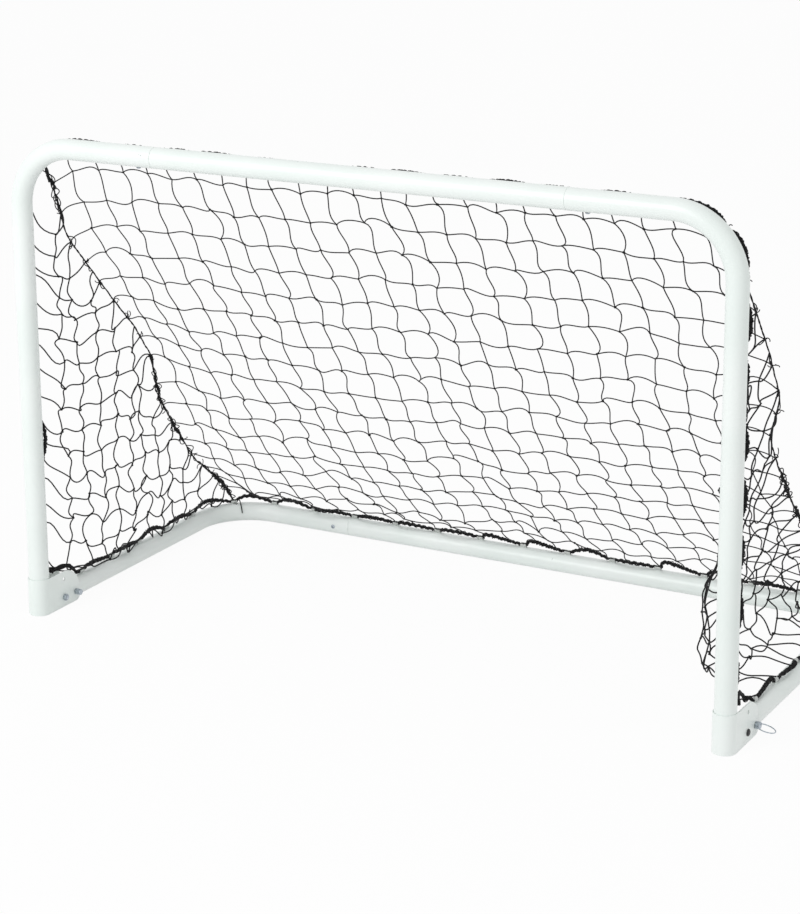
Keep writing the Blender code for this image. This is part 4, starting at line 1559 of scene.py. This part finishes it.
@dataclass
class LacedHoops:
    """The lacing of both hoops.

    Attributes:
        finishes: The goal's materials.
        front_clips: First place, pitch and number of clips up a post, then pitch and number
            over the crossbar.
        base_clips: The same along a base tube and over the rear bar.
    """

    finishes: Finishes
    front_clips: tuple[float, float, int, float, int] = (0.087, 0.0975, 8, 0.093, 12)
    base_clips: tuple[float, float, int, float, int] = (0.133, 0.0975, 5, 0.096, 13)

    def __post_init__(self) -> None:
        """Lay out both lacings."""
        self.front = Lacing(
            FRONT_HOOP,
            self.places(FRONT_HOOP, *self.front_clips),
            start=0.076,
            tilt_deg=24.0,
            seed=11,
            wave=(0.0003, 0.0028),
            sway_deg=(-42.0, -22.0),
            cross_share=(0.0, 0.25),
            square=0.8,
            tugs=((3, 0.0005, 0.55), (9, 0.0005, -0.1), (21, 0.0, -0.24), (22, 0.0006, -0.48)),
            late=((21, 3.6), (22, 0.62)),
        )
        self.base = Lacing(
            BASE_HOOP,
            self.places(BASE_HOOP, *self.base_clips),
            start=0.108,
            tilt_deg=0.0,
            seed=23,
            wave=(0.003, 0.014),
            sway_deg=(-4.0, 26.0),
            skew=(0.34, 0.9),
            right_share=-1.6,
            loose=0.0014,
            pressed=0.08,
        )

    @staticmethod
    def places(
        hoop: Hoop, first: float, pitch: float, count: int, across_pitch: float, across: int
    ) -> Array:
        """Places of a hoop's clips: up a side, one on its bend, and over the cross piece.

        Args:
            hoop: The hoop.
            first: Distance of the first clip from the foot.
            pitch: Distance between a side's clips.
            count: Number of clips on a side's straight part.
            across_pitch: Distance between the cross piece's clips.
            across: Number of clips on the cross piece.

        Returns:
            Distances from the left foot.
        """
        side = np.append(first + pitch * np.arange(count), hoop.bend_middle)
        middle = hoop.half_length + across_pitch * (np.arange(across) - (across - 1) / 2)
        return np.concatenate([side, middle, 2 * hoop.half_length - side[::-1]])

    def build(self) -> None:
        """Make the ropes and the clips."""
        for word, lacing, body, away in (
            ("front", self.front, Body.FRONT, REAR),
            ("base", self.base, Body.BASE, UP),
        ):
            node, surface = f"{word}_lacing_cord", lacing.rope_surface()
            piece = add_piece(
                f"{word}_lacing_rope", surface, self.finishes.cord, Slot.CORD, body, node, 60.0
            )
            wall = lacing.hoop.centre(np.array(lacing.hoop.run))
            wall = wall + away * (SIZES.tube_r + SIZES.fit_gap)
            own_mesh(piece)
            surface = lacing.clip_surface()
            add_piece(f"{word}_net_clips", surface, self.finishes.clip, Slot.NYLON, body)


@dataclass(frozen=True)
class Strays:
    """How one seam of this goal strays from an even sag.

    Attributes:
        places: Shares of the way from the top bend to the rear bend.
        inward: Offset towards the goal's middle at each.
        below: Offset square to that and to the seam at each.
    """

    places: tuple[float, ...]
    inward: tuple[float, ...]
    below: tuple[float, ...]


SEAM_STRAYS = {
    Side.LEFT: Strays(
        (0.0, 0.06, 0.15, 0.27, 0.42, 0.50, 0.58, 0.70, 0.80, 0.93, 1.0),
        (0.0,) * 11,
        (0.0, 0.002, 0.028, 0.003, -0.027, -0.028, 0.008, 0.018, 0.022, 0.0, 0.0),
    ),
    Side.RIGHT: Strays(
        (0.0, 0.12, 0.25, 0.35, 0.45, 0.55, 0.70, 0.85, 1.0),
        (0.0, -0.02, -0.048, -0.058, -0.028, -0.03, -0.026, -0.01, 0.0),
        (0.0, 0.0, 0.0, -0.004, 0.0, 0.002, 0.0, 0.0, 0.0),
    ),
}


@dataclass(frozen=True)
class Fall:
    """How the simulated strings fall and settle.

    Attributes:
        steps: Number of steps.
        passes: Passes over the strings in each step.
        time_step: Seconds in a step.
        gravity: Pull on the knots.
        damping: Share of its speed that a knot keeps, while falling and while settling.
        settle_from: Share of the steps after which the knots settle.
        shortest: Share of its length that a string can be pressed to.
        relax: Factors on what a knot's strings ask of it.
        inward: Pull on a side panel's knots to the goal's middle, as a share of gravity.
    """

    steps: int = 1100
    passes: int = 14
    time_step: float = 0.003
    gravity: float = 9.81
    damping: tuple[float, float] = (0.985, 0.9)
    settle_from: float = 0.7
    shortest: float = 0.8
    relax: tuple[float, float] = (1.25, 1.2)
    inward: tuple[float, float] = (0.0, -0.75)


@dataclass
class KnottedNet:
    """The net: a back panel and two side panels of square meshes, sewn to two seam cords.

    Knots are points on strings that resist only stretching. They hang from the lacing ropes
    under their own weight, and each strand between two knots is a cubic curve that leaves its
    knots a little askew.

    Attributes:
        finishes: The goal's materials.
        laced: The ropes that the net hangs on.
        columns: Meshes across the back panel.
        rows: Meshes down the back panel.
        side_rows: Meshes up a side panel's front edge.
        side_columns: Meshes along its lower edge.
        seam_steps: Spans of a seam cord, a multiple of rows, side_rows and side_columns.
        twine_r: Radius of the back panel's twine.
        side_twine_r: Radius of a side panel's twine.
        seam_r: Radius of a seam's twine.
        seam_yarns: Number of twines in a seam.
        ends_per_tie: Free ends at each tie of a seam.
        gather_twines: Twines in a gathered corner.
        loop_count: Loose loops on a seam.
        bunches: Middle and reach of each place where a seam is bunched, as shares of it.
        knot_r: Radius of a knot.
        tail_turn: How far the left seam's loose end goes round its tube, in radians.
        slack: Length of a back panel's string, in flat spans.
        side_slack: Length of a side panel's string, in flat spans.
        low_slack: How much longer it is at the ground.
        low_from: Height under which it grows longer.
        lowest: Height that no knot falls under.
        belly_slack: How much longer the strings are in the right panel's belly.
        belly_at: Middle of the belly, behind the post and above the ground.
        belly_reach: Reach of the belly.
        uneven: How much the back panel's strings differ.
        side_uneven: How much a side panel's strings differ.
        level_reach: Size of the end slopes of a side panel's level strands.
        upright_reach: The same for its upright strands.
        side_stray: How unevenly a side panel's strands leave their knots.
        hang_below: How far a seam sags.
        hang_inward: How far a seam is pulled inwards.
        post_start: Distance of a side panel's lower corner up the post.
        base_start: The same along the base tube.
        fall: How the strings fall and settle.
        seed: Seed of all that is irregular in the net.
    """

    finishes: Finishes
    laced: LacedHoops
    columns: int = 25
    rows: int = 18
    side_rows: int = 18
    side_columns: int = 12
    seam_steps: int = 36
    twine_r: float = 0.00113
    side_twine_r: float = 0.00138
    seam_r: float = 0.00095
    seam_yarns: int = 5
    ends_per_tie: int = 4
    gather_twines: int = 14
    loop_count: int = 110
    bunches: tuple[tuple[float, float], ...] = (
        (0.04, 0.07),
        (0.57, 0.07),
        (0.69, 0.06),
        (0.93, 0.12),
    )
    knot_r: float = 0.0022
    tail_turn: float = 1.45
    slack: float = 0.998
    side_slack: float = 1.02
    low_slack: float = 0.10
    low_from: float = 0.45
    lowest: float = 0.060
    belly_slack: float = 0.17
    belly_at: tuple[float, float] = (0.08, 0.22)
    belly_reach: float = 0.13
    uneven: float = 0.08
    side_uneven: float = 0.14
    level_reach: float = 1.35
    upright_reach: float = 1.8
    side_stray: float = 1.7
    hang_below: float = 0.056
    hang_inward: float = 0.030
    post_start: float = 0.080
    base_start: float = 0.112
    fall: Fall = Fall()
    seed: int = 5

    def __post_init__(self) -> None:
        """Number the knots and lay them out flat.

        Knots of the seams come first, then those of the back panel between the seams, then
        those of the two side panels. A side panel is a grid cut along its diagonal, the seam,
        where its strings end on the seam's knots.
        """
        self.rng = np.random.default_rng(self.seed)
        high, deep = self.side_rows, self.side_columns
        seam = np.arange(2 * (self.seam_steps + 1)).reshape(2, -1)
        inner = self.columns - 1
        back = np.zeros((self.rows + 1, self.columns + 1), int)
        back[:, 1:-1] = seam.size + np.arange((self.rows + 1) * inner).reshape(-1, inner)
        count = seam.size + (self.rows + 1) * inner
        every = self.seam_steps // self.rows
        back[:, 0], back[:, -1] = seam[0, ::every], seam[1, ::every]
        row, column = np.arange(high + 1), np.arange(deep + 1)
        up, along = np.meshgrid(row, column, indexing="ij")
        near = up * deep + along * high
        inside, edge = near < high * deep, near == high * deep
        panels = np.full((2, high + 1, deep + 1), -1)
        panels[:, inside] = count + np.arange(2 * inside.sum()).reshape(2, -1)
        panels[:, edge] = seam[:, along[edge] * (self.seam_steps // deep)]
        last_level = panels[:, row, inside.sum(1) - 1]
        last_upright = panels[:, inside.sum(0) - 1, column]
        on_seam = seam[:, ::-1][:, row * (self.seam_steps // high)]
        self.level_ends = np.stack([last_level, on_seam], -1)
        on_seam = seam[:, column * (self.seam_steps // deep)]
        self.upright_ends = np.stack([last_upright, on_seam], -1)
        self.seam, self.back, self.panels = seam, back, panels
        self.count = count + 2 * inside.sum()
        self.place = np.zeros((self.count, 3))
        self.pinned = np.zeros(self.count, bool)
        for k, side in enumerate(Side):
            self.lay_side(k, side)
        self.lay_back()

    def lay_side(self, k: int, side: Side) -> None:
        """Put a side panel's and a seam's knots in place and pin those on the ropes.

        Args:
            k: Number of the panel.
            side: Its side.
        """
        up = np.linspace(0.0, 1.0, self.side_rows + 1)
        along = np.linspace(0.0, 1.0, self.side_columns + 1)
        up_s = self.post_start + (FRONT_HOOP.bend_middle - self.post_start) * up
        along_s = self.base_start + (BASE_HOOP.bend_middle - self.base_start) * along
        posts = self.laced.front.on_side(side, up_s)
        tubes = self.laced.base.on_side(side, along_s)
        corner = (posts[0] + tubes[0]) / 2
        posts[0] = tubes[0] = corner
        grid = posts[:, None] + tubes[None] - corner
        near = up[:, None] + along[None]
        ids, inside = self.panels[k], near < 1 - 1e-9
        chord = tubes[-1] - posts[-1]
        hang = self.seam_hang(side, along[None] / np.maximum(near, 1e-9), chord)
        self.place[ids[inside]] = ((grid + hang * near[..., None] ** 2) * side.mirror)[inside]
        t = np.linspace(0.0, 1.0, self.seam_steps + 1)[:, None]
        line = (1 - t) * posts[-1] + t * tubes[-1]
        self.place[self.seam[k]] = (line + self.seam_hang(side, t[:, 0], chord)) * side.mirror
        for rope_ids in (ids[:-1, 0], ids[0, :-1], self.seam[k]):
            self.pinned[rope_ids] = True

    def lay_back(self) -> None:
        """Put the back panel's knots on a patch between the ropes and the seams.

        The patch is the sum of the straight blends between opposite edges, less the blend of
        its four corners.
        """
        wide = np.linspace(0.0, 1.0, self.columns + 1)
        edges = []
        for lacing in (self.laced.front, self.laced.base):
            bend = lacing.hoop.bend_middle
            edges.append(lacing.rope_point(bend + 2 * (lacing.hoop.half_length - bend) * wide))
        tops, lows = edges
        u, v = wide[None, :, None], np.linspace(0, 1, self.rows + 1)[:, None, None]
        left, right = self.place[self.back[:, 0]][:, None], self.place[self.back[:, -1]][:, None]
        patch = (1 - v) * tops + v * lows + (1 - u) * left + u * right
        top, low = ((1 - u) * edge[0] + u * edge[-1] for edge in edges)
        patch -= (1 - v) * top + v * low
        self.place[self.back[:, 1:-1]] = patch[:, 1:-1]
        self.pinned[self.back[[0, -1]]] = True

    def seam_hang(self, side: Side, t: Array, line: Array) -> Array:
        """How far a seam hangs off the straight line between its ends, as for the left one.

        It is w (A below + B inwards) with w = sin(pi t)^1.5, plus this goal's own strays.

        Args:
            side: Which seam.
            t: Places along it, from the top bend (0) to the rear bend (1).
            line: The straight line from its first to its last point.

        Returns:
            An offset for each place.
        """
        below = unit(np.array([0.0, line[2], -line[1]]))
        wave = np.clip(np.sin(np.pi * np.clip(t, 0.0, 1.0)), 0.0, 1.0) ** 1.5
        stray = SEAM_STRAYS[side]
        across = self.hang_inward * wave + np.interp(t, stray.places, stray.inward)
        down = self.hang_below * wave + np.interp(t, stray.places, stray.below)
        return across[..., None] * RIGHT + down[..., None] * below

    def spans(self) -> dict[str, Array]:
        """The strings of the back and side panels.

        Returns:
            Each group of strings by name, as (n, 2) pairs of knots.
        """
        back = self.back
        made = {
            "back_across": np.stack([back[1:-1, :-1], back[1:-1, 1:]], -1).reshape(-1, 2),
            "back_down": np.stack([back[:-1, 1:-1], back[1:, 1:-1]], -1).reshape(-1, 2),
        }
        for k, side in enumerate(Side):
            ids = self.panels[k]
            for word, first, second, last in (
                ("level", ids[:, :-1], ids[:, 1:], self.level_ends[k]),
                ("upright", ids[:-1], ids[1:], self.upright_ends[k]),
            ):
                pairs = np.stack([first, second], -1).reshape(-1, 2)
                pairs = np.unique(np.vstack([pairs[(pairs >= 0).all(1)], last]), axis=0)
                made[f"{side.label}_{word}"] = pairs[~self.pinned[pairs].all(1)]
        return made

    def string_lengths(self, name: str, pairs: Array) -> Array:
        """How long strings are when taut: their flat span times a slack, each a bit uneven.

        In the right panel's belly, at a distance r from its middle, the slack grows by
        B exp(-(r / reach)^2).

        Args:
            name: Name of their group.
            pairs: (n, 2) knots.

        Returns:
            Their lengths.
        """
        length = np.linalg.norm(self.place[pairs[:, 0]] - self.place[pairs[:, 1]], axis=1)
        slack, uneven = self.slack, self.uneven
        if not name.startswith("back"):
            middle = self.place[pairs].mean(1)
            low = np.clip(1 - middle[:, 2] / self.low_from, 0.0, 1.0)
            slack, uneven = self.side_slack + self.low_slack * low, self.side_uneven
            if name.startswith(Side.RIGHT.label):
                belly = SIZES.post_y + self.belly_at[0], self.belly_at[1]
                far = (middle[:, 1:] - belly) / self.belly_reach
                slack = slack + self.belly_slack * np.exp(-(far**2).sum(1))
        return length * (slack + self.rng.uniform(-uneven, uneven, len(pairs)))

    def hang(self) -> None:
        """Let the knots fall and settle.

        Each step moves a knot on by its damped last move plus g dt^2. Then each string that
        is too long, or pressed under the shortest share of its length, moves its two ends
        along itself, and a knot takes the mean of what its strings ask, a few passes over.
        """
        fall, spans = self.fall, self.spans()
        rest = np.concatenate([self.string_lengths(name, pairs) for name, pairs in spans.items()])
        a, b = np.vstack(list(spans.values())).T
        asked = np.bincount(a, minlength=self.count) + np.bincount(b, minlength=self.count)
        free = ~self.pinned
        relax, over = fall.relax
        weight = np.where(free, relax / np.maximum(asked, 1) * over, 0.0)[:, None]
        pull = np.zeros((self.count, 3))
        pull[:, 2] = -fall.gravity * fall.time_step**2
        for ids, push in zip(self.panels, fall.inward, strict=True):
            pull[ids[ids >= 0], 0] = push * fall.gravity * fall.time_step**2
        now, last = self.place.copy(), self.place.copy()
        for step in range(fall.steps):
            damp = fall.damping[int(step >= fall.steps * fall.settle_from)]
            new = now.copy()
            new[free] = (now + (now - last) * damp + pull)[free]
            for _ in range(fall.passes):
                along = new[b] - new[a]
                length = np.linalg.norm(along, axis=1)
                over_long = length - np.clip(length, fall.shortest * rest, rest)
                move = along * (0.5 * over_long / np.maximum(length, 1e-9))[:, None]
                for axis, part in enumerate(move.T):
                    asks = np.bincount(a, part, self.count) - np.bincount(b, part, self.count)
                    new[:, axis] += asks * weight[:, 0]
            new[:, 2] = np.maximum(new[:, 2], self.lowest)
            new[self.pinned] = self.place[self.pinned]
            last, now = now, new
        self.place = now

    def curves(
        self, pairs: Array, normal: Array, lean: float, stray: float = 1.0, reach: float = 1.1
    ) -> Array:
        """Strands between pairs of knots.

        Each is the Hermite cubic of its ends and of end slopes, which are the chord turned
        about the panel's normal by an arch of plus and minus an angle, and a smaller S.

        Args:
            pairs: (n, 2) knots.
            normal: The panel's normal.
            lean: Mean angle of the arch, in radians.
            stray: How unevenly the strands leave their knots.
            reach: Size of the end slopes; the more, the longer the strands.

        Returns:
            (n, 9, 3) points.
        """
        first, last = self.place[pairs[:, 0]], self.place[pairs[:, 1]]
        chord = last - first
        side = np.cross(normal, chord)
        count = len(pairs)
        arch = self.rng.normal(lean, 0.27 * stray, count)
        ess = self.rng.normal(0.0, 0.38 * stray, count)
        out = self.rng.normal(0.0, 0.16 * stray, count)[:, None, None] * normal
        t = np.linspace(0.0, 1.0, 9)[None, :, None]

        def slope(angle: Array) -> Array:
            """The chord turned by an angle in the panel."""
            return (np.cos(angle)[:, None] * chord + np.sin(angle)[:, None] * side)[:, None]

        return (
            (2 * t**3 - 3 * t**2 + 1) * first[:, None]
            + (t**3 - 2 * t**2 + t) * slope(arch + ess) * reach
            + (3 * t**2 - 2 * t**3) * last[:, None]
            + (t**3 - t**2) * slope(-arch + ess) * reach
            + t * (1 - t) * out * np.linalg.norm(chord, axis=1)[:, None, None]
        )

    def knots(self, ids: Array) -> Surface:
        """Lumpy knots: a ball whose radius is R (1 + 0.2 cos 3a sin 2b + 0.12 sin(2a + 1)).

        Args:
            ids: Numbers of the knots.

        Returns:
            The knots.
        """
        sides, count = 8, len(ids)
        b = np.linspace(0.12, np.pi - 0.12, 5)[:, None]
        a = full_turn(sides)
        lumps = 1 + 0.2 * np.cos(3 * a) * np.sin(2 * b) + 0.12 * np.sin(2 * a + 1)
        ball = grid_surface(turned(lumps * np.sin(b), 0.85 * np.cos(b), sides))
        spin = self.rng.uniform(0, 2 * np.pi, count)
        turns = np.zeros((count, 3, 3))
        turns[:, 0, 0] = turns[:, 1, 1] = np.cos(spin)
        turns[:, 0, 1] = np.sin(spin)
        turns[:, 1, 0] = -turns[:, 0, 1]
        turns[:, 2, 2] = 1.0
        scale = self.knot_r * self.rng.uniform(0.8, 1.25, count)
        return ball.copies(turns * scale[:, None, None], self.place[ids])

    def fold(self, piece: bpy.types.Object) -> None:
        """Bake a piece's place into its mesh and read its points; it doesn't follow the hoops.

        Args:
            piece: The net or cord piece.
        """
        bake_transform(piece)
        co = np.zeros(len(piece.data.vertices) * 3, np.float32)
        piece.data.vertices.foreach_get("co", co)

    def seam_cord(self, k: int) -> Surface:
        """A seam: twines wound loosely round the line of knots, bunched in places, and ties.

        Twine j is wound round the line at an angle that grows along the seam. The first two
        run close to it; the others only stand off it where it is bunched.

        Args:
            k: Number of the seam.

        Returns:
            The seam.
        """
        line = through(self.place[self.seam[k]], 14)
        share, along = np.linspace(0.0, 1.0, len(line)), run_along(line)
        bunch = sum(smooth_step(1 - np.abs(share - at) / reach) for at, reach in self.bunches)
        yarns = []
        for j in range(self.seam_yarns):
            turn = 2 * np.pi * (along / (0.03 + 0.004 * j) + j / self.seam_yarns)
            turn = turn + 0.9 * np.sin(along * 61 + j)
            close = 0.0008 if j < 2 else 0.0003
            swell = 0.0006 * j + 0.0022 * np.sin(along * (97 + 13 * j) + 2.1 * j) ** 2
            yarns.append(wound(line, turn, close + swell * bunch, RIGHT))
        every_tie = 28
        parts = [
            strands(np.stack(yarns), RIGHT, self.seam_r, 6),
            self.tie_ends(line[::every_tie]),
            self.loops(line, bunch),
        ]
        if k == 0:
            parts.append(self.tail())
        return Surface.joined(*parts)

    def tail(self) -> Surface:
        """The end of the left seam's twine, which hangs over the tube from the rope.

        It is centre + (tube radius + rise) (cos w up - sin w outward), with w growing evenly
        and the rise falling to the twine's radius.

        Returns:
            The loose end.
        """
        u = np.linspace(0.0, 1.0, 16)
        s = BASE_HOOP.bend_middle + 0.012 + 0.004 * u
        outward, up = BASE_HOOP.axes(s)
        rise = self.twine_r * 1.3 + self.laced.base.seat * (1 - u) ** 2
        turn = (self.tail_turn * u)[:, None]
        around = np.cos(turn) * up - np.sin(turn) * outward
        path = BASE_HOOP.centre(s) + (SIZES.tube_r + rise)[:, None] * around
        return strands(path[None], RIGHT + UP, self.twine_r, 6)

    def corner_gather(self, side: Side) -> Surface:
        """The net's gathered corner over a bracket, between the ends of the two ropes.

        Its twines wander about one curve, by sines across and upwards. They spread wide
        between the cheeks and draw together at the base rope.

        Args:
            side: Which corner.

        Returns:
            The gathered twines.
        """
        front, base = self.laced.front, self.laced.base
        first = front.on_side(side, np.array([front.start + 0.002]))[0]
        last = base.on_side(side, np.array([base.start + 0.004]))[0]
        after_first, before_last = [0, 0.020, -0.008], [0, -0.026, 0.021]
        over = np.array([first, first + after_first, last + before_last, last])
        curve = through(over, 14) * side.mirror
        along = np.linspace(0.0, 1.0, len(curve))
        wide = 0.0015 + 0.011 * smooth_step(along * 6) * (1 - smooth_step(along * 1.6))
        tall = 0.0015 + 0.003 * np.sin(np.pi * along)
        twines = []
        for _ in range(self.gather_twines):
            a, b, c, d = self.rng.uniform(0, 2 * np.pi, 4)
            across = wide * np.sin((8 + a) * along + b)
            lift = tall * np.sin((9 + b) * along + c) * np.abs(np.sin(6 * along + d))
            twines.append(curve + across[:, None] * RIGHT + lift[:, None] * [0.0, 0.4, 0.9])
        return strands(np.stack(twines), RIGHT, self.twine_r, 5)

    def tie_ends(self, knots: Array) -> Surface:
        """Stiff free ends at each tie, curled into arcs.

        With c the arc's angle, the path is knot + L/c (sin(c u) out + (1 - cos(c u)) aside).

        Args:
            knots: (n, 3) places of the ties.

        Returns:
            The ends.
        """
        count = len(knots) * self.ends_per_tie
        start = np.repeat(knots, self.ends_per_tie, axis=0)
        out = unit(self.rng.normal(size=(count, 3)) * [0.6, 1.0, 1.0])
        length = 1.7 * self.rng.uniform(0.003, 0.012, count)[:, None, None]
        curl = self.rng.normal(0.0, 1.1, (count, 3))
        flat = unit(np.cross(out, curl))
        aside = np.cross(flat, out)
        arc = 0.8 + np.linalg.norm(curl, axis=1)[:, None, None]
        turn = arc * np.linspace(0.0, 1.0, 10)[None, :, None]
        ways = np.sin(turn) * out[:, None] + (1 - np.cos(turn)) * aside[:, None]
        return strands(start[:, None] + length / arc * ways, flat, self.twine_r * 0.8, 5)

    def loops(self, line: Array, bunch: Array) -> Surface:
        """Small loops of slack twine that stand off the seam where it is bunched.

        Args:
            line: (n, 3) points of the seam.
            bunch: How much it is bunched at each.

        Returns:
            The loops.
        """
        rng, count, margin = self.rng, self.loop_count, 8
        likely = (bunch + 0.06)[margin:-margin]
        spots = np.arange(margin, len(line) - margin)
        spots = rng.choice(spots, count, p=likely / likely.sum())
        reach = rng.uniform(0.003, 0.011, count)
        wide = rng.integers(3, margin, count)
        out = unit(rng.normal(size=(count, 3)))
        u = np.linspace(0.0, 1.0, 9)[None, :, None]
        first, last = line[spots - wide], line[spots + wide]
        stand = np.sin(np.pi * u) * (reach[:, None] * out)[:, None]
        paths = (1 - u) * first[:, None] + u * last[:, None] + stand
        return strands(paths, unit(np.cross(out, last - first)), self.twine_r * 0.9, 5)

    def back_panel(self, spans: dict[str, Array]) -> Surface:
        """The back panel's strands and knots.

        Args:
            spans: All the strings by name.

        Returns:
            The panel.
        """
        slope = unit(np.array([0.0, 0.86, 0.63]))
        across = self.curves(spans["back_across"], -slope, 0.28)
        down = self.curves(spans["back_down"], -slope, 0.2)
        twines = strands(np.concatenate([across, down]), slope, self.twine_r, 5)
        return Surface.joined(twines, self.knots(self.back[:, 1:-1].ravel()))

    def side_panel(self, k: int, side: Side, spans: dict[str, Array]) -> Surface:
        """A side panel's strands, its gathered corner and its knots.

        Args:
            k: Number of the panel.
            side: Its side.
            spans: All the strings by name.

        Returns:
            The panel.
        """
        level, upright = (spans[f"{side.label}_{word}"] for word in ("level", "upright"))
        level = self.curves(level, -RIGHT, 0.12, self.side_stray, self.level_reach)
        upright = self.curves(upright, RIGHT, 0.1, self.side_stray, self.upright_reach)
        twines = strands(np.concatenate([level, upright]), RIGHT, self.side_twine_r, 5)
        ids = self.panels[k][1:, 1:]
        return Surface.joined(twines, self.corner_gather(side), self.knots(ids[ids >= 0]))

    def build(self) -> None:
        """Hang the net and make its panels and seams."""
        self.hang()
        spans = self.spans()
        twine, cord = (self.finishes.twine, Slot.TWINE), (self.finishes.cord, Slot.CORD)
        made = [("back_net", "knotted", self.back_panel(spans), twine)]
        for k, side in enumerate(Side):
            panel = self.side_panel(k, side, spans)
            made.append((f"{side.label}_side_net", "knotted", panel, twine))
            made.append((f"{side.label}_seam_cord", "yarns", self.seam_cord(k), cord))
        for node, word, surface, finish in made:
            self.fold(add_piece(f"{node}_{word}", surface, *finish, None, node, 60.0))


@dataclass
class Studio:
    """Camera, floor and light of the photograph.

    Attributes:
        unit_length: Length of the units that the camera's place is given in, a tube's width.
        eye: Where the camera is, from the middle between the posts' feet.
        yaw_deg: How far it looks to the left.
        pitch_deg: How far it looks down.
        roll_deg: How far it leans.
        focal_px: Focal length in pixels of the picture.
        principal: Where the optical axis meets the picture.
        picture: Size of the picture.
        sensor_mm: Width of the sensor.
        half_floor: Half the width of the floor.
        glow: Share of pure white in the floor as it is seen.
        dim: Strength of the surroundings as a light.
        aim: What the lamps point at.
        lamps: Name, place, size and power of each lamp.
    """

    unit_length: float = 0.038
    eye: tuple[float, float, float] = (55.1, -96.0, 44.8)
    yaw_deg: float = 28.8
    pitch_deg: float = 15.1
    roll_deg: float = -0.36
    focal_px: float = 2553.0
    principal: tuple[float, float] = (400.0, 366.0)
    picture: tuple[float, float] = (800.0, 914.0)
    sensor_mm: float = 36.0
    half_floor: float = 30.0
    glow: float = 0.93
    dim: float = 0.72
    aim: tuple[float, float, float] = (0.0, 0.0, 0.4)
    lamps: tuple[tuple[str, tuple[float, float, float], float, float], ...] = (
        ("key_lamp", (-1.9, -4.6, 2.9), 3.0, 106.0),
        ("fill_lamp", (3.8, -2.0, 2.2), 3.0, 8.0),
    )

    def camera(self) -> None:
        """The camera that the photograph was fitted with."""
        yaw, pitch, roll = (math.radians(v) for v in (self.yaw_deg, self.pitch_deg, self.roll_deg))
        level = Vector((math.cos(yaw), math.sin(yaw), 0.0))
        flat = math.cos(pitch)
        ahead = Vector((-math.sin(yaw) * flat, math.cos(yaw) * flat, -math.sin(pitch)))
        lifted = level.cross(ahead)
        x = level * math.cos(roll) + lifted * math.sin(roll)
        y = lifted * math.cos(roll) - level * math.sin(roll)
        data = bpy.data.cameras.new("camera")
        wide, tall = self.picture
        data.sensor_fit = "AUTO"
        data.sensor_width = self.sensor_mm
        data.lens = self.focal_px * self.sensor_mm / tall
        data.shift_x = (wide / 2 - self.principal[0]) / tall
        data.shift_y = (self.principal[1] - tall / 2) / tall
        data.clip_start, data.clip_end = 0.1, 100.0
        made = add_object("camera", data)
        place = Vector(self.eye) * self.unit_length + Vector((0.0, SIZES.post_y, 0.0))
        turn = Matrix((x, y, -ahead)).transposed().to_4x4()
        made.matrix_world = Matrix.Translation(place) @ turn
        bpy.context.scene.camera = made

    def floor(self) -> None:
        """A wide white floor that keeps a faint shadow."""
        corners = self.half_floor * np.array([[-1, -1, 0], [1, -1, 0], [1, 1, 0], [-1, 1, 0]])
        mesh = Surface(corners, [np.arange(4)[None]]).mesh("floor")
        sheet = NodeSheet(bpy.data.materials.new("floor_white"))
        white = (0.9, 0.9, 0.9, 1.0)
        sheet.fill(sheet.shader, Base_Color=white, Roughness=0.9, Specular_IOR_Level=0.0)
        glow = sheet.node("ShaderNodeEmission", Color=(1.0, 1.0, 1.0, 1.0), Strength=1.0)
        mix = sheet.node("ShaderNodeMixShader")
        share = sheet.maths("MULTIPLY", sheet.seen(), self.glow)
        for entry, value in enumerate((share, sheet.shader.outputs[0], glow.outputs[0])):
            sheet.plug(value, mix.inputs[entry])
        sheet.fill(sheet.tree.nodes["Material Output"], Surface=mix.outputs[0])
        mesh.materials.append(sheet.owner)
        add_object("floor", mesh)

    def lights(self) -> None:
        """White surroundings, a broad lamp from the front left and a weak one from the right."""
        sheet = NodeSheet(bpy.data.worlds.new("studio"))
        level = sheet.between(sheet.seen(), self.dim, 1.0)
        sheet.fill(sheet.tree.nodes["Background"], Color=(1.0, 1.0, 1.0, 1.0), Strength=level)
        bpy.context.scene.world = sheet.owner
        for name, place, size, power in self.lamps:
            data = bpy.data.lights.new(name, "AREA")
            data.shape, data.size, data.energy = "SQUARE", size, power
            turn = (Vector(self.aim) - Vector(place)).to_track_quat("-Z", "Y")
            made = add_object(name, data)
            made.matrix_world = Matrix.Translation(place) @ turn.to_matrix().to_4x4()

    def build(self) -> None:
        """Set up the whole stage."""
        self.camera()
        self.floor()
        self.lights()
        bpy.context.scene.view_settings.view_transform = "Standard"


def dress_hidden_nodes(frame: dict, finishes: Finishes) -> None:
    """Give the plugs and bushes that keep their CAD shape their nylon.

    Args:
        finishes: The goal's materials.
    """
    for side in Side:
        for word in ("foot_plug", "pivot_bush"):
            node = frame["nodes"][f"{side.label}_{word}"]
            node.data.materials.clear()
            node.data.materials.append(finishes.nylon)


def main() -> None:
    """Build every piece of the goal round the frame."""
    logging.basicConfig(level=logging.INFO, format="%(message)s")
    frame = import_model()
    Studio().build()
    finishes = Finishes()
    laced = LacedHoops(finishes)
    laced.build()
    for part in (TubeFrame, FootBracket, PivotHardware, LockPins):
        part(finishes).build()
    KnottedNet(finishes, laced).build()
    dress_hidden_nodes(frame, finishes)


if __name__ == "__main__":
    main()
